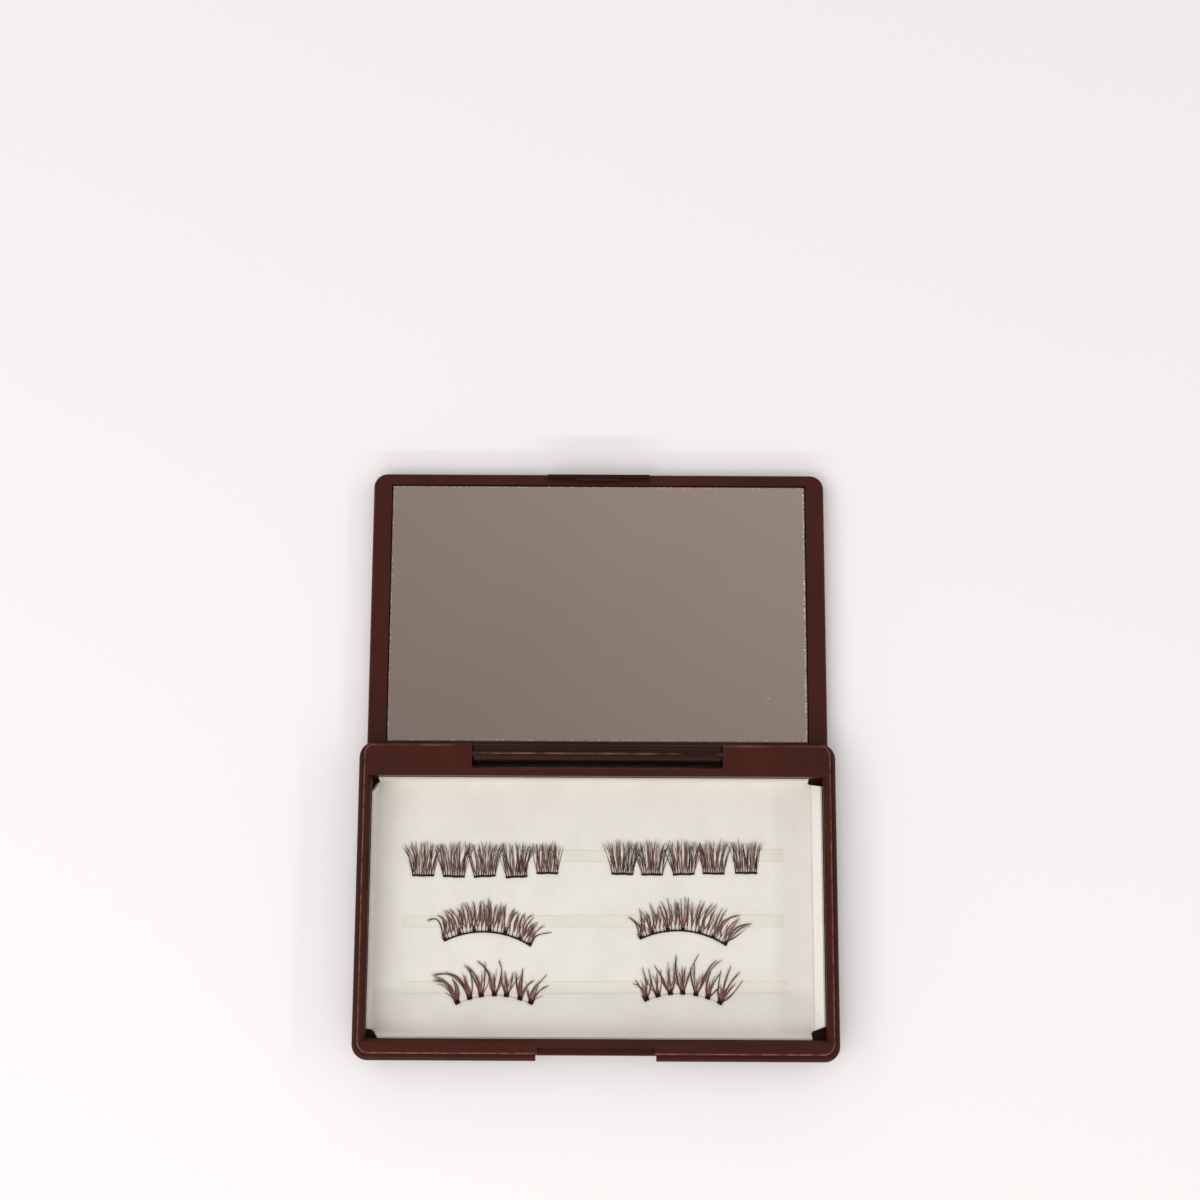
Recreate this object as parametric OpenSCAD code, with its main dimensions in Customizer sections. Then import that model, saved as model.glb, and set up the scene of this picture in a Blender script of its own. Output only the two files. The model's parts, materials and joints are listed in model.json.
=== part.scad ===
// False eyelash case: a hinged compact with a mirror in its lid and a card tray of lashes in its base.
// It is drawn lying open, with the lid turned right back and flat beside the base.
// Millimetres. +X is to the right, +Y towards the hinge, +Z up. The origin is on the underside,
// at the centre of the base.

/* [Case] */
// Width of the base wall and of the lid
body_w = 111.8; // [106:0.1:118]
// Length of the base wall and of the lid, from front to rear
body_l = 73; // [70:0.1:76]
// Height of the base at its rim
base_h = 9.7; // [8.8:0.1:11]
// Thickness of the lid at its edge
lid_t = 4.15; // [3.8:0.05:4.6]
// Gap between the base rim and the shut lid
parting_gap = 0.15; // [0.1:0.05:0.3]
// Corner radius of the base wall, seen from above
body_corner_r = 2.8; // [2:0.1:4]
// Corner radius of the lid, seen from above
lid_corner_r = 3.4; // [2.6:0.1:5]
// Rounding of the base's bottom edge
bottom_round = 1.4; // [0.6:0.1:1.8]
// Rounding of the base rim's outer edge
rim_round = 0.35; // [0.2:0.05:0.6]
// How far the lower body stands out past the wall above it
lower_step = 0.3; // [0.1:0.05:0.6]

/* [Belt round the base] */
// How far the belt stands out at the front and the sides
belt_step = 1.6; // [1.2:0.05:2.2]
// How far the belt stands out behind the hinge ears
belt_rear_step = 0.75; // [0.5:0.05:0.9]
// Height of the belt
belt_h = 1.9; // [1.85:0.05:2.3]
// Corner radius of the belt, seen from above
belt_corner_r = 3.75; // [3:0.05:4.5]
// Rounding of the belt's edge
belt_round = 0.9; // [0.5:0.05:0.92]
// Length of belt that turns the rear corner, from the side inwards
belt_return = 4.5; // [3.8:0.1:6]

/* [Tray in the base] */
// Thickness of the side walls
side_wall = 1.75; // [1.4:0.05:2.4]
// Thickness of the front wall
front_wall = 3.4; // [3.1:0.05:4]
// Thickness of the rear wall
rear_wall = 1.8; // [1.3:0.1:2.2]
// Thickness of the floor
floor_t = 1.4; // [1:0.1:1.8]
// Width of the bevel inside the rim
rim_bevel = 0.7; // [0.4:0.05:0.9]
// Depth of the bevel inside the rim
rim_bevel_depth = 0.9; // [0.5:0.05:1.2]

/* [Hinge] */
// Radius of the lid's knuckle
knuckle_r = 2.4; // [2.2:0.05:2.6]
// Width of the lid's knuckle
knuckle_w = 59.4; // [50:0.1:66]
// Gap at each end of the knuckle
knuckle_end_gap = 0.35; // [0.2:0.05:0.6]
// Gap between the rear wall and the knuckle
knuckle_wall_gap = 1.25; // [1.1:0.05:1.6]
// Gap between the open lid and the hinge ears above it
ear_gap = 0.2; // [0.15:0.05:0.3]
// Rounding of the hinge ears' rear edges
ear_round = 1; // [0.8:0.05:1.2]
// Gap that the swinging lid keeps from the ears
swing_gap = 0.15; // [0.1:0.05:0.3]
// Radius of a hinge pin
pin_r = 0.7; // [0.5:0.05:0.9]
// Gap round a pin in the knuckle, where it turns
pin_run_gap = 0.05; // [0.03:0.01:0.08]
// Gap round a pin in its ear, where it is pressed in
pin_press_gap = 0.01; // [0.005:0.005:0.02]
// Depth of a pin in the knuckle
pin_grip = 8; // [5:0.5:12]
// How far a pin's outer end lies inside the ear's hole
pin_inset = 0.5; // [0.2:0.1:1]

/* [Latch] */
// Width of the lid's latch tongue
tongue_w = 25.6; // [20:0.2:28]
// Height of the tongue below the lid
tongue_h = 2; // [1.8:0.05:2.2]
// Thickness of the tongue
tongue_t = 0.85; // [0.7:0.05:1]
// How far the tongue lies inside the lid's front face
tongue_inset = 0.5; // [0.3:0.05:0.6]
// Width of the snap bead on the tongue
bead_w = 11; // [8:0.5:16]
// Radius of the snap bead
bead_r = 0.6; // [0.4:0.05:0.7]
// Gap round the tongue and its bead in the shut case
latch_gap = 0.12; // [0.1:0.01:0.2]
// Width past each end of the tongue in its recess
recess_side_gap = 0.9; // [0.5:0.1:1.5]
// Gap below the tongue in its recess
tongue_floor_gap = 0.85; // [0.3:0.05:1.2]
// Width of the finger gap in the belt
notch_w = 28.4; // [28:0.1:32]
// Rounding of the front edge below the latch
nose_round = 1; // [0.6:0.1:1.2]

/* [Lid and mirror] */
// Rounding of the lid's outer edge
lid_edge_round = 1.8; // [1.2:0.1:2.1]
// Rounding of the lid's edge where it meets the base
lid_rim_round = 0.6; // [0.3:0.05:0.8]
// Width of the rim beside the mirror pocket
lid_side_rim = 4.5; // [3.5:0.1:6]
// Width of the rim in front of the mirror pocket
lid_front_rim = 2.7; // [2.3:0.1:4]
// Width of the rim behind the mirror pocket
lid_rear_rim = 5.85; // [5.4:0.05:8]
// Gap round the mirror in its pocket
mirror_gap = 0.25; // [0.15:0.05:0.4]
// Thickness of the mirror glass
mirror_t = 1.3; // [1:0.1:1.5]
// Depth of the mirror's face below the lid's rim
mirror_sink = 0.55; // [0.3:0.05:0.7]
// Ground edge of the mirror glass
mirror_edge = 0.2; // [0.1:0.05:0.3]
// Thickness of the sticky sheet behind the mirror
pad_t = 0.2; // [0.1:0.05:0.3]
// How far the sticky sheet ends inside the mirror
pad_margin = 2; // [1:0.5:5]

/* [Card tray] */
// Thickness of the folded card
card_t = 0.45; // [0.3:0.05:0.6]
// Height of the card's flaps above its floor
flap_h = 5; // [4:0.1:6]
// Gap between the card's flaps and the case walls
card_gap = 0.1; // [0.05:0.05:0.2]
// Lean of the left flap, across its height
flap_lean_left = 0.6; // [0:0.05:2]
// Lean of the right flap, across its height
flap_lean_right = 2.3; // [0:0.05:3]
// Lean of the front flap, across its height
flap_lean_front = 1.25; // [0:0.05:2.5]
// Lean of the rear flap, across its height
flap_lean_rear = 0.1; // [0:0.05:1.2]
// Slant of a flap's cut end across its height, where no wider cut is set below
flap_cut = 0.2; // [0:0.05:1.5]
// Slant of the left flap's end in the rear corner
cut_rear_left = 2.6; // [0:0.05:3]
// Slant of the right flap's end in the rear corner
cut_rear_right = 0.95; // [0:0.05:3]
// Slant of the front flap's end in the left corner
cut_front_left = 1.35; // [0:0.05:3]
// Slant of the right flap's end in the front corner
cut_front_right = 1.2; // [0:0.05:3]
// Gap between two flaps at the foot of a corner
flap_corner_gap = 0.3; // [0.2:0.1:1]

/* [Adhesive strips] */
// Length of a strip
strip_l = 91.3; // [86:0.1:96]
// Width of a strip
strip_w = 2.8; // [2:0.1:4]
// Thickness of a strip
strip_t = 0.1; // [0.05:0.01:0.15]
// Middle of the strips, to the right of the case's middle
strip_x = -0.75; // [-2:0.05:2]
// Middle of the centre strip, towards the hinge
strip_y = -5.35; // [-7:0.05:-3]
// Distance from one strip to the next
strip_pitch = 15.6; // [15:0.1:16.5]
// Turn of the strips and of all the lashes on the card, in degrees
strip_turn = 0.4; // [-0.4:0.1:0.8]

/* [Lashes] */
// Width of the band that a lash grows from
band_w = 0.5; // [0.4:0.05:0.7]
// Height of the band
band_h = 0.5; // [0.45:0.05:0.7]
// Radius of a hair at its root
hair_r = 0.08; // [0.06:0.01:0.1]
// Rise of a hair's tip above its root
hair_rise = 1.6; // [1:0.1:2.4]
// Distance from a strip's middle to the roots on it, in the rear row
cluster_drop = 4.9; // [4.4:0.05:5.4]
// Width of a short cluster's band
cluster_w = 5.3; // [4.6:0.1:5.8]
// Distance from one short cluster to the next
cluster_pitch = 7.5; // [7.2:0.05:8]
// Place of the innermost cluster on the left
cluster_left_x = -11.9; // [-13:0.1:-10]
// How much nearer the hinge that cluster's band lies than the others
cluster_left_rise = 0.75; // [0:0.05:1]
// Place of the innermost cluster on the right
cluster_right_x = 6.1; // [5:0.1:8]
// Hairs in a short cluster
cluster_hairs = 16; // [10:1:18]
// Length of a short cluster's hairs
cluster_hair_l = 8.4; // [7:0.1:9]
// Lean of a cluster's outermost hairs, in degrees
cluster_spread = 4.5; // [2:0.5:6]
// How much longer a long lash's hairs are at its outer end, as a share
lash_flare = 0.14; // [0:0.01:0.2]
// Radius of a long lash's curved band
lash_r = 21.5; // [20:0.5:24]
// Distance from a strip's middle to the top of a full lash's band
full_drop = 2.65; // [2.4:0.05:3.4]
// Width across the ends of a full lash's band
full_w = 20.5; // [18:0.1:22]
// Hairs on a full lash
full_hairs = 64; // [40:1:64]
// Length of a full lash's longest hairs
full_hair_l = 8.2; // [7:0.1:9]
// Place of the left full lash
full_left_x = -25.9; // [-28:0.1:-24]
// Turn of the left full lash, in degrees
full_left_turn = -3.5; // [-5:0.1:2]
// Place of the right full lash
full_right_x = 20.8; // [19:0.1:23]
// Turn of the right full lash, in degrees
full_right_turn = -4; // [-5:0.1:2]
// Distance from a strip's middle to the top of a spiked lash's band
spiked_drop = 2.25; // [1.9:0.05:2.8]
// Width across the ends of a spiked lash's band
spiked_w = 18.1; // [16:0.1:20]
// Tufts on a spiked lash
spiked_tufts = 7; // [5:1:8]
// Hairs in each tuft of a spiked lash
tuft_hairs = 7; // [5:1:8]
// Length of a spiked lash's longest hairs
spiked_hair_l = 9.2; // [8:0.1:10]
// Place of the left spiked lash
spiked_left_x = -24.3; // [-27:0.1:-22]
// Turn of the left spiked lash, in degrees
spiked_left_turn = -0.1; // [-3:0.1:3]
// Place of the right spiked lash
spiked_right_x = 20.5; // [18:0.1:23]
// Turn of the right spiked lash, in degrees
spiked_right_turn = -2.3; // [-4:0.1:3]

/* [Hidden] */
$fn = 48;
plastic = "#4A2A22";
glass = "#8F857C";
card = "#E6E1D6";
clear_tape = "#DDD8C6";
hair = "#2A1A1C";
steel = "#B8B8BC";

// Reach of a cut past the solid it cuts
over = 1;

// Outline of the base wall and the shut lid
half_w = body_w / 2;
half_l = body_l / 2;

// The hinge axis lies halfway up the shut case, so that the open lid lies flat beside the base
shut_h = base_h + parting_gap + lid_t;
hinge_z = shut_h / 2;
hinge_y = half_l - knuckle_r;
lid_z = base_h + parting_gap;

// The hinge ears and the belt clear the open lid below them
ear_z = lid_t + ear_gap;
ear_x = knuckle_w / 2 + knuckle_end_gap;
belt_top = ear_z + belt_h;
belt_end_x = half_w + belt_step - belt_return;

// The tray in the base
rear_face = half_l - 2 * knuckle_r - knuckle_wall_gap;
cavity_x = half_w - side_wall;
cavity_front = front_wall - half_l;
cavity_rear = rear_face - rear_wall;

// The lid's scoops: the ears' and the belt's furthest points from the hinge axis, plus the swing gap
ear_half_h = max(base_h - hinge_z, hinge_z - ear_z);
ear_reach = norm([knuckle_r - ear_round, ear_half_h - ear_round]) + ear_round;
belt_depth = hinge_z - ear_z - belt_round;
belt_reach = norm([knuckle_r + belt_rear_step - belt_round, belt_depth]) + belt_round;
ear_scoop = ear_reach + swing_gap;
belt_scoop = max(ear_scoop, belt_reach + swing_gap);

// The latch
tongue_front = tongue_inset - half_l;
tongue_back = tongue_front + tongue_t;
recess_w = tongue_w + 2 * recess_side_gap;
recess_back = tongue_back + latch_gap;
bead_z = lid_z - 0.6 * tongue_h;
recess_floor = lid_z - tongue_h - tongue_floor_gap;
nose_front = -half_l - lower_step;

// The mirror pocket
pocket_x = half_w - lid_side_rim;
pocket_front = lid_front_rim - half_l;
pocket_rear = half_l - lid_rear_rim;
mirror_z = lid_z + mirror_sink;
pad_z = mirror_z + mirror_t;
pocket_top = pad_z + pad_t;

// The card tray's floor, between its four folds
card_top = floor_t + card_t;
card_edge = card_gap + card_t;
fold_left = card_edge + flap_lean_left - cavity_x;
fold_right = cavity_x - card_edge - flap_lean_right;
fold_front = cavity_front + card_edge + flap_lean_front;
fold_rear = cavity_rear - card_edge - flap_lean_rear;

// The lashes lie on the card, with their hairs over the strips; heights are above the card and
// places are from the middle of the centre strip
hair_z = band_h * 0.6;
cluster_y = strip_pitch - cluster_drop;
full_y = -full_drop;
spiked_y = -strip_pitch - spiked_drop;

// Cross-section of a plate from its middle out to x = reach, with its outer corners rounded
module edge_section(reach, h, round_low, round_high) {
    difference() {
        square([reach, h]);
        if (round_low > 0) {
            corner_waste(reach, 0, round_low, -1);
        }
        if (round_high > 0) {
            corner_waste(reach, h, round_high, 1);
        }
    }
}

// Cross-section of the whole plate, from x = -reach to x = reach
module plate_section(reach, h, round_low, round_high) {
    edge_section(reach, h, round_low, round_high);
    mirror([1, 0])
        edge_section(reach, h, round_low, round_high);
}

// What a rounding of radius r takes off the corner at (x, y); side is -1 at a foot, 1 at a top
module corner_waste(x, y, r, side) {
    difference() {
        translate([x - r, side > 0 ? y - r : y - over])
            square([r + over, r + over]);
        translate([x - r, y - side * r])
            circle(r);
    }
}

// A block with round corners seen from above and round edges seen from the side
module soft_block(x0, x1, y0, y1, z0, z1, corner_r, round_low, round_high) {
    h = z1 - z0;
    half_x = (x1 - x0) / 2;
    half_y = (y1 - y0) / 2;
    translate([(x0 + x1) / 2, (y0 + y1) / 2, z0]) {
        bar_y(corner_r - half_y, half_y - corner_r)
            plate_section(half_x, h, round_low, round_high);
        bar_x(corner_r - half_x, half_x - corner_r)
            plate_section(half_y, h, round_low, round_high);
        for (sx = [0, 1], sy = [0, 1]) {
            mirror([sx, 0, 0])
                mirror([0, sy, 0])
                    translate([half_x - corner_r, half_y - corner_r, 0])
                        rotate_extrude(angle = 90)
                            edge_section(corner_r, h, round_low, round_high);
        }
    }
}

// A bar along X with a given cross-section in Y and Z
module bar_x(x0, x1) {
    translate([x0, 0, 0])
        rotate([90, 0, 90])
            linear_extrude(x1 - x0)
                children();
}

// A bar along Y with a given cross-section in X and Z
module bar_y(y0, y1) {
    translate([0, y1, 0])
        rotate([90, 0, 0])
            linear_extrude(y1 - y0)
                children();
}

// A round rod along X on the hinge axis
module hinge_rod(x0, x1, r) {
    translate([x0, hinge_y, hinge_z])
        rotate([0, 90, 0])
            cylinder(h = x1 - x0, r = r);
}

// Turns what is drawn on the shut lid over into the open pose
module laid_open() {
    translate([0, hinge_y, hinge_z])
        rotate([180, 0, 0])
            translate([0, -hinge_y, -hinge_z])
                children();
}

// Both sides of the case
module both_sides() {
    children();
    mirror([1, 0, 0])
        children();
}

// The space in the base that holds the card tray, with the bevel round three sides of its mouth
module tray_space() {
    bevel_z = base_h - rim_bevel_depth;
    top = base_h + over;
    slope = rim_bevel / rim_bevel_depth;
    wide = rim_bevel + over * slope;
    intersection() {
        bar_y(cavity_front - over - rim_bevel * 3, cavity_rear)
            polygon([
                [-cavity_x, floor_t], [cavity_x, floor_t], [cavity_x, bevel_z],
                [cavity_x + wide, top], [-cavity_x - wide, top], [-cavity_x, bevel_z]
            ]);
        bar_x(-half_w - over, half_w + over)
            polygon([
                [cavity_front, floor_t], [cavity_rear, floor_t], [cavity_rear, top],
                [cavity_front - wide, top], [cavity_front, bevel_z]
            ]);
    }
}

// What the ears' rear edges lose so that the lid can swing round them
module ear_edge_waste() {
    bar_x(-half_w - over, half_w + over) {
        corner_waste(half_l, base_h, ear_round, 1);
        corner_waste(half_l, ear_z, ear_round, -1);
    }
}

module belt() {
    difference() {
        soft_block(
            -half_w - belt_step, half_w + belt_step, -half_l - belt_step, half_l + belt_rear_step,
            ear_z, belt_top, belt_corner_r, belt_round, belt_round
        );
        // The belt turns the rear corners and stops there
        translate([-belt_end_x, 0, ear_z - over])
            cube([2 * belt_end_x, body_l, belt_h + 2 * over]);
        // Finger gap at the front
        translate([-notch_w / 2, -half_l - belt_step - over, ear_z - over])
            cube([notch_w, belt_step + over, belt_h + 2 * over]);
    }
}

// The rounded edge under the latch, which shows through the finger gap
module nose() {
    bar_x(-notch_w / 2, notch_w / 2)
        mirror([1, 0])
            difference() {
                translate([-recess_back, ear_z])
                    square([recess_back - nose_front, recess_floor - ear_z]);
                corner_waste(-nose_front, recess_floor, nose_round, 1);
            }
}

module base_shell() {
    color(plastic)
        difference() {
            union() {
                difference() {
                    union() {
                        soft_block(
                            -half_w - lower_step, half_w + lower_step, -half_l - lower_step, rear_face,
                            0, ear_z, body_corner_r, bottom_round, 0
                        );
                        soft_block(
                            -half_w, half_w, -half_l, half_l,
                            ear_z, base_h, body_corner_r, 0, rim_round
                        );
                    }
                    ear_edge_waste();
                    // Recess for the latch tongue
                    translate([-recess_w / 2, -half_l - over, recess_floor])
                        cube([recess_w, recess_back + half_l + over, base_h]);
                    // Groove for the snap bead
                    translate([-bead_w / 2 - latch_gap, tongue_back, bead_z])
                        rotate([0, 90, 0])
                            cylinder(h = bead_w + 2 * latch_gap, r = bead_r + latch_gap);
                }
                belt();
                nose();
            }
            tray_space();
            // Space for the lid's knuckle
            translate([-ear_x, rear_face, -over])
                cube([2 * ear_x, body_l, base_h + 2 * over]);
            both_sides()
                hinge_rod(ear_x - over, half_w + belt_step + over, pin_r + pin_press_gap);
        }
}

// The lid's solid in the shut pose: its plate, knuckle and latch tongue
module lid_plate() {
    soft_block(
        -half_w, half_w, -half_l, half_l,
        lid_z, shut_h, lid_corner_r, lid_rim_round, lid_edge_round
    );
    bar_x(-knuckle_w / 2, knuckle_w / 2) {
        translate([hinge_y, hinge_z])
            circle(knuckle_r);
        translate([half_l - 2 * knuckle_r, hinge_z])
            square([2 * knuckle_r, lid_z + lid_rim_round - hinge_z]);
    }
    tongue();
}

// The tongue hangs from the lid's front rim and has round lower corners
module tongue() {
    drop = tongue_h + lid_rim_round;
    translate([0, tongue_back, lid_z + lid_rim_round])
        rotate([90, 0, 0])
            linear_extrude(tongue_t)
                difference() {
                    translate([-tongue_w / 2, -drop])
                        square([tongue_w, drop]);
                    corner_waste(tongue_w / 2, -drop, tongue_t, -1);
                    mirror([1, 0])
                        corner_waste(tongue_w / 2, -drop, tongue_t, -1);
                }
    translate([-bead_w / 2, tongue_back, bead_z])
        rotate([0, 90, 0])
            cylinder(h = bead_w, r = bead_r);
}

module lid_shell() {
    color(plastic)
        laid_open()
            difference() {
                lid_plate();
                // Pocket for the mirror
                translate([-pocket_x, pocket_front, lid_z - over])
                    cube([2 * pocket_x, pocket_rear - pocket_front, pocket_top - lid_z + over]);
                // Scoops that clear the ears and the turned ends of the belt
                both_sides() {
                    hinge_rod(knuckle_w / 2, half_w + over, ear_scoop);
                    hinge_rod(belt_end_x - swing_gap, half_w + over, belt_scoop);
                    hinge_rod(knuckle_w / 2 - pin_grip, knuckle_w / 2 + over, pin_r + pin_run_gap);
                }
            }
}

module mirror_glass() {
    x = pocket_x - mirror_gap;
    y0 = pocket_front + mirror_gap;
    y1 = pocket_rear - mirror_gap;
    e = mirror_edge;
    color(glass)
        laid_open()
            translate([0, 0, mirror_z])
                intersection() {
                    bar_y(y0, y1)
                        polygon([[e - x, 0], [x - e, 0], [x, e], [x, mirror_t], [-x, mirror_t], [-x, e]]);
                    bar_x(-x, x)
                        polygon([
                            [y0 + e, 0], [y1 - e, 0], [y1, e], [y1, mirror_t], [y0, mirror_t], [y0, e]
                        ]);
                }
}

module mirror_pad() {
    inset = mirror_gap + pad_margin;
    color(clear_tape)
        laid_open()
            translate([inset - pocket_x, pocket_front + inset, pad_z])
                cube([2 * (pocket_x - inset), pocket_rear - pocket_front - 2 * inset, pad_t]);
}

// The right-hand pin; the other one is its mirror image
module hinge_pin() {
    color(steel)
        hinge_rod(knuckle_w / 2 - pin_grip + pin_inset, half_w - pin_inset, pin_r);
}

// One flap, standing on a fold of the given length that runs along Y through the origin.
// It leans out towards +X, and its ends are cut on a slant.
module flap(fold_l, lean, cut_low, cut_high) {
    slope = atan2(lean, flap_h);
    top = flap_h / cos(slope);
    foot = card_t * (1 - sin(slope)) / cos(slope);
    intersection() {
        bar_y(-fold_l / 2, fold_l / 2)
            polygon([
                [-card_t, -card_t],
                [card_t * cos(slope) - foot * sin(slope), -card_t],
                [card_t * cos(slope) + top * sin(slope), top * cos(slope) - card_t * sin(slope)],
                [top * sin(slope), top * cos(slope)],
                [0, 0],
                [-card_t, 0]
            ]);
        bar_x(-over - card_t, lean + card_t + over)
            polygon([
                [-fold_l / 2, -card_t], [fold_l / 2, -card_t], [fold_l / 2, 0],
                [fold_l / 2 - cut_high, flap_h], [cut_low - fold_l / 2, flap_h], [-fold_l / 2, 0]
            ]);
    }
}

module card_tray() {
    mid_x = (fold_left + fold_right) / 2;
    mid_y = (fold_front + fold_rear) / 2;
    fold_w = fold_right - fold_left;
    fold_l = fold_rear - fold_front;
    short = 2 * flap_corner_gap;
    color(card)
        translate([0, 0, card_top]) {
            translate([fold_left, fold_front, -card_t])
                cube([fold_w, fold_l, card_t]);
            translate([fold_right, mid_y, 0])
                flap(fold_l - short, flap_lean_right, cut_front_right, cut_rear_right);
            translate([fold_left, mid_y, 0])
                rotate([0, 0, 180])
                    flap(fold_l - short, flap_lean_left, cut_rear_left, flap_cut);
            translate([mid_x, fold_rear, 0])
                rotate([0, 0, 90])
                    flap(fold_w - short, flap_lean_rear, flap_cut, flap_cut);
            translate([mid_x, fold_front, 0])
                rotate([0, 0, -90])
                    flap(fold_w - short, flap_lean_front, cut_front_left, flap_cut);
        }
}

// Puts its children on the card, in the frame of the strips, which lie a little askew
module on_card() {
    translate([0, strip_y, card_top])
        rotate([0, 0, strip_turn])
            children();
}

// A strip of clear tape; row is 1 for the rear strip, 0 for the middle one, -1 for the front one
module adhesive_strip(row) {
    color(clear_tape)
        on_card()
            translate([strip_x - strip_l / 2, row * strip_pitch - strip_w / 2, 0])
                cube([strip_l, strip_w, strip_t]);
}

// Middle line of a hair: it leaves the root at an angle from +Y and turns by curl on its way
function hair_point(s, angle, curl, length) = [
    length * s * sin(angle + curl * s / 2),
    length * s * cos(angle + curl * s / 2),
    hair_rise * pow(s, 5)
];

// A three-sided ring round the middle line, at the part s of the hair's length
function hair_ring(s, angle, curl, length) = [
    for (side = [0:2])
        let (
            turn = 90 + 120 * side,
            heading = angle + curl * s,
            r = hair_r * (1 - 0.6 * s)
        )
        hair_point(s, angle, curl, length)
        + r * [cos(turn) * cos(heading), -cos(turn) * sin(heading), sin(turn)]
];

// One tapering hair of three sides, from its root at the origin to a point
module one_hair(angle, curl, length) {
    rings = 3;
    points = [
        for (i = [0:rings - 1])
            each hair_ring(i / rings, angle, curl, length),
        hair_point(1, angle, curl, length)
    ];
    faces = [
        [0, 2, 1],
        for (i = [0:rings - 2], side = [0:2])
            let (a = 3 * i + side, b = 3 * i + (side + 1) % 3)
            each [[a, b, a + 3], [b, b + 3, a + 3]],
        for (side = [0:2])
            [3 * (rings - 1) + side, 3 * (rings - 1) + (side + 1) % 3, 3 * rings]
    ];
    polyhedron(points, faces);
}

// A short cluster on a straight band, raised by rise; n tells one cluster from the next
module lash_cluster(x, rise, n) {
    uneven = rands(-1, 1, 2 * cluster_hairs, 40 + n);
    color(hair)
        on_card()
            translate([x, cluster_y + rise, 0]) {
                translate([-cluster_w / 2, -band_w / 2, 0])
                    cube([cluster_w, band_w, band_h]);
                for (i = [0:cluster_hairs - 1]) {
                    u = 2 * (i + 0.5) / cluster_hairs - 1;
                    reach = cluster_hair_l * (1 - 0.05 * u * u + 0.05 * uneven[i]) - rise;
                    translate([u * cluster_w / 2, 0, hair_z])
                        one_hair(u * cluster_spread + 0.5 * uneven[cluster_hairs + i], u * 3, reach);
                }
            }
}

module lash_cluster_left(n) {
    lash_cluster(cluster_left_x - (n - 1) * cluster_pitch, n == 1 ? cluster_left_rise : 0, n);
}

module lash_cluster_right(n) {
    lash_cluster(cluster_right_x + (n - 1) * cluster_pitch, 0, 10 + n);
}

// A piece of curved band, centred on the angle at (in degrees from +Y) and span degrees long
module curved_band(at, span, width) {
    translate([0, -lash_r, 0])
        rotate([0, 0, 90 - at - span / 2])
            rotate_extrude(angle = span)
                translate([lash_r - width / 2, 0])
                    square([width, band_h]);
}

// A hair that grows from the curved band at the angle at and leans by lean from there
module band_hair(at, lean, curl, length) {
    translate([lash_r * sin(at), lash_r * cos(at) - lash_r, hair_z])
        one_hair(at + lean, curl, length);
}

// A lash with hairs all along its band; outer is -1 where its outer end is on the left, 1 on the right
module full_lash(x, turn, outer, seed) {
    half_span = asin(full_w / 2 / lash_r);
    uneven = rands(-1, 1, 2 * full_hairs, seed);
    color(hair)
        on_card()
            translate([x, full_y, 0])
                rotate([0, 0, turn]) {
                    curved_band(0, 2 * half_span, band_w);
                    for (i = [0:full_hairs - 1]) {
                        u = 2 * (i + 0.5) / full_hairs - 1;
                        at = u * half_span;
                        share = 1 - 0.25 * u * u + lash_flare * outer * u + 0.05 * uneven[i];
                        lean = 0.3 * at + 0.5 * uneven[full_hairs + i];
                        band_hair(at, lean, 0.9 * at, full_hair_l * share);
                    }
                }
}

// A lash of separate tufts that a thin thread holds together
module spiked_lash(x, turn, outer, seed) {
    half_span = asin(spiked_w / 2 / lash_r);
    knot_span = 3.2;
    knot_fan = 6;
    uneven = rands(-1, 1, spiked_tufts * tuft_hairs, seed);
    color(hair)
        on_card()
            translate([x, spiked_y, 0])
                rotate([0, 0, turn]) {
                    curved_band(0, 2 * half_span, band_w / 2);
                    for (t = [0:spiked_tufts - 1]) {
                        u = 2 * (t + 0.5) / spiked_tufts - 1;
                        at = u * (half_span - knot_span / 2) * spiked_tufts / (spiked_tufts - 1);
                        curved_band(at, knot_span, band_w);
                        for (i = [0:tuft_hairs - 1]) {
                            v = 2 * (i + 0.5) / tuft_hairs - 1;
                            share = 1 - 0.2 * u * u - 0.14 * v * v + lash_flare * outer * u;
                            reach = spiked_hair_l * (share + 0.06 * uneven[t * tuft_hairs + i]);
                            band_hair(at + v * knot_span / 2, 0.5 * at + v * knot_fan, 0.5 * at + 3 * v, reach);
                        }
                    }
                }
}

base_shell();
lid_shell();
mirror_glass();
mirror_pad();
mirror([1, 0, 0]) hinge_pin();  // hinge_pin_left
hinge_pin();  // hinge_pin_right
card_tray();
adhesive_strip(1);  // adhesive_strip_rear
adhesive_strip(0);  // adhesive_strip_middle
adhesive_strip(-1);  // adhesive_strip_front
lash_cluster_left(1);  // lash_cluster_left_1
lash_cluster_left(2);  // lash_cluster_left_2
lash_cluster_left(3);  // lash_cluster_left_3
lash_cluster_left(4);  // lash_cluster_left_4
lash_cluster_left(5);  // lash_cluster_left_5
lash_cluster_right(1);  // lash_cluster_right_1
lash_cluster_right(2);  // lash_cluster_right_2
lash_cluster_right(3);  // lash_cluster_right_3
lash_cluster_right(4);  // lash_cluster_right_4
lash_cluster_right(5);  // lash_cluster_right_5
full_lash(full_left_x, full_left_turn, -1, 71);  // full_lash_left
full_lash(full_right_x, full_right_turn, 1, 72);  // full_lash_right
spiked_lash(spiked_left_x, spiked_left_turn, -1, 81);  // spiked_lash_left
spiked_lash(spiked_right_x, spiked_right_turn, 1, 82);  // spiked_lash_right
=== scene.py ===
"""A false eyelash case lying open: finishes, lashes, foil ornament and studio, round the packed frame."""

import json
import math
import random

import bmesh
import bpy
from bpy.props import FloatProperty, FloatVectorProperty, IntProperty, PointerProperty
from mathutils import Matrix, Vector


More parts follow.
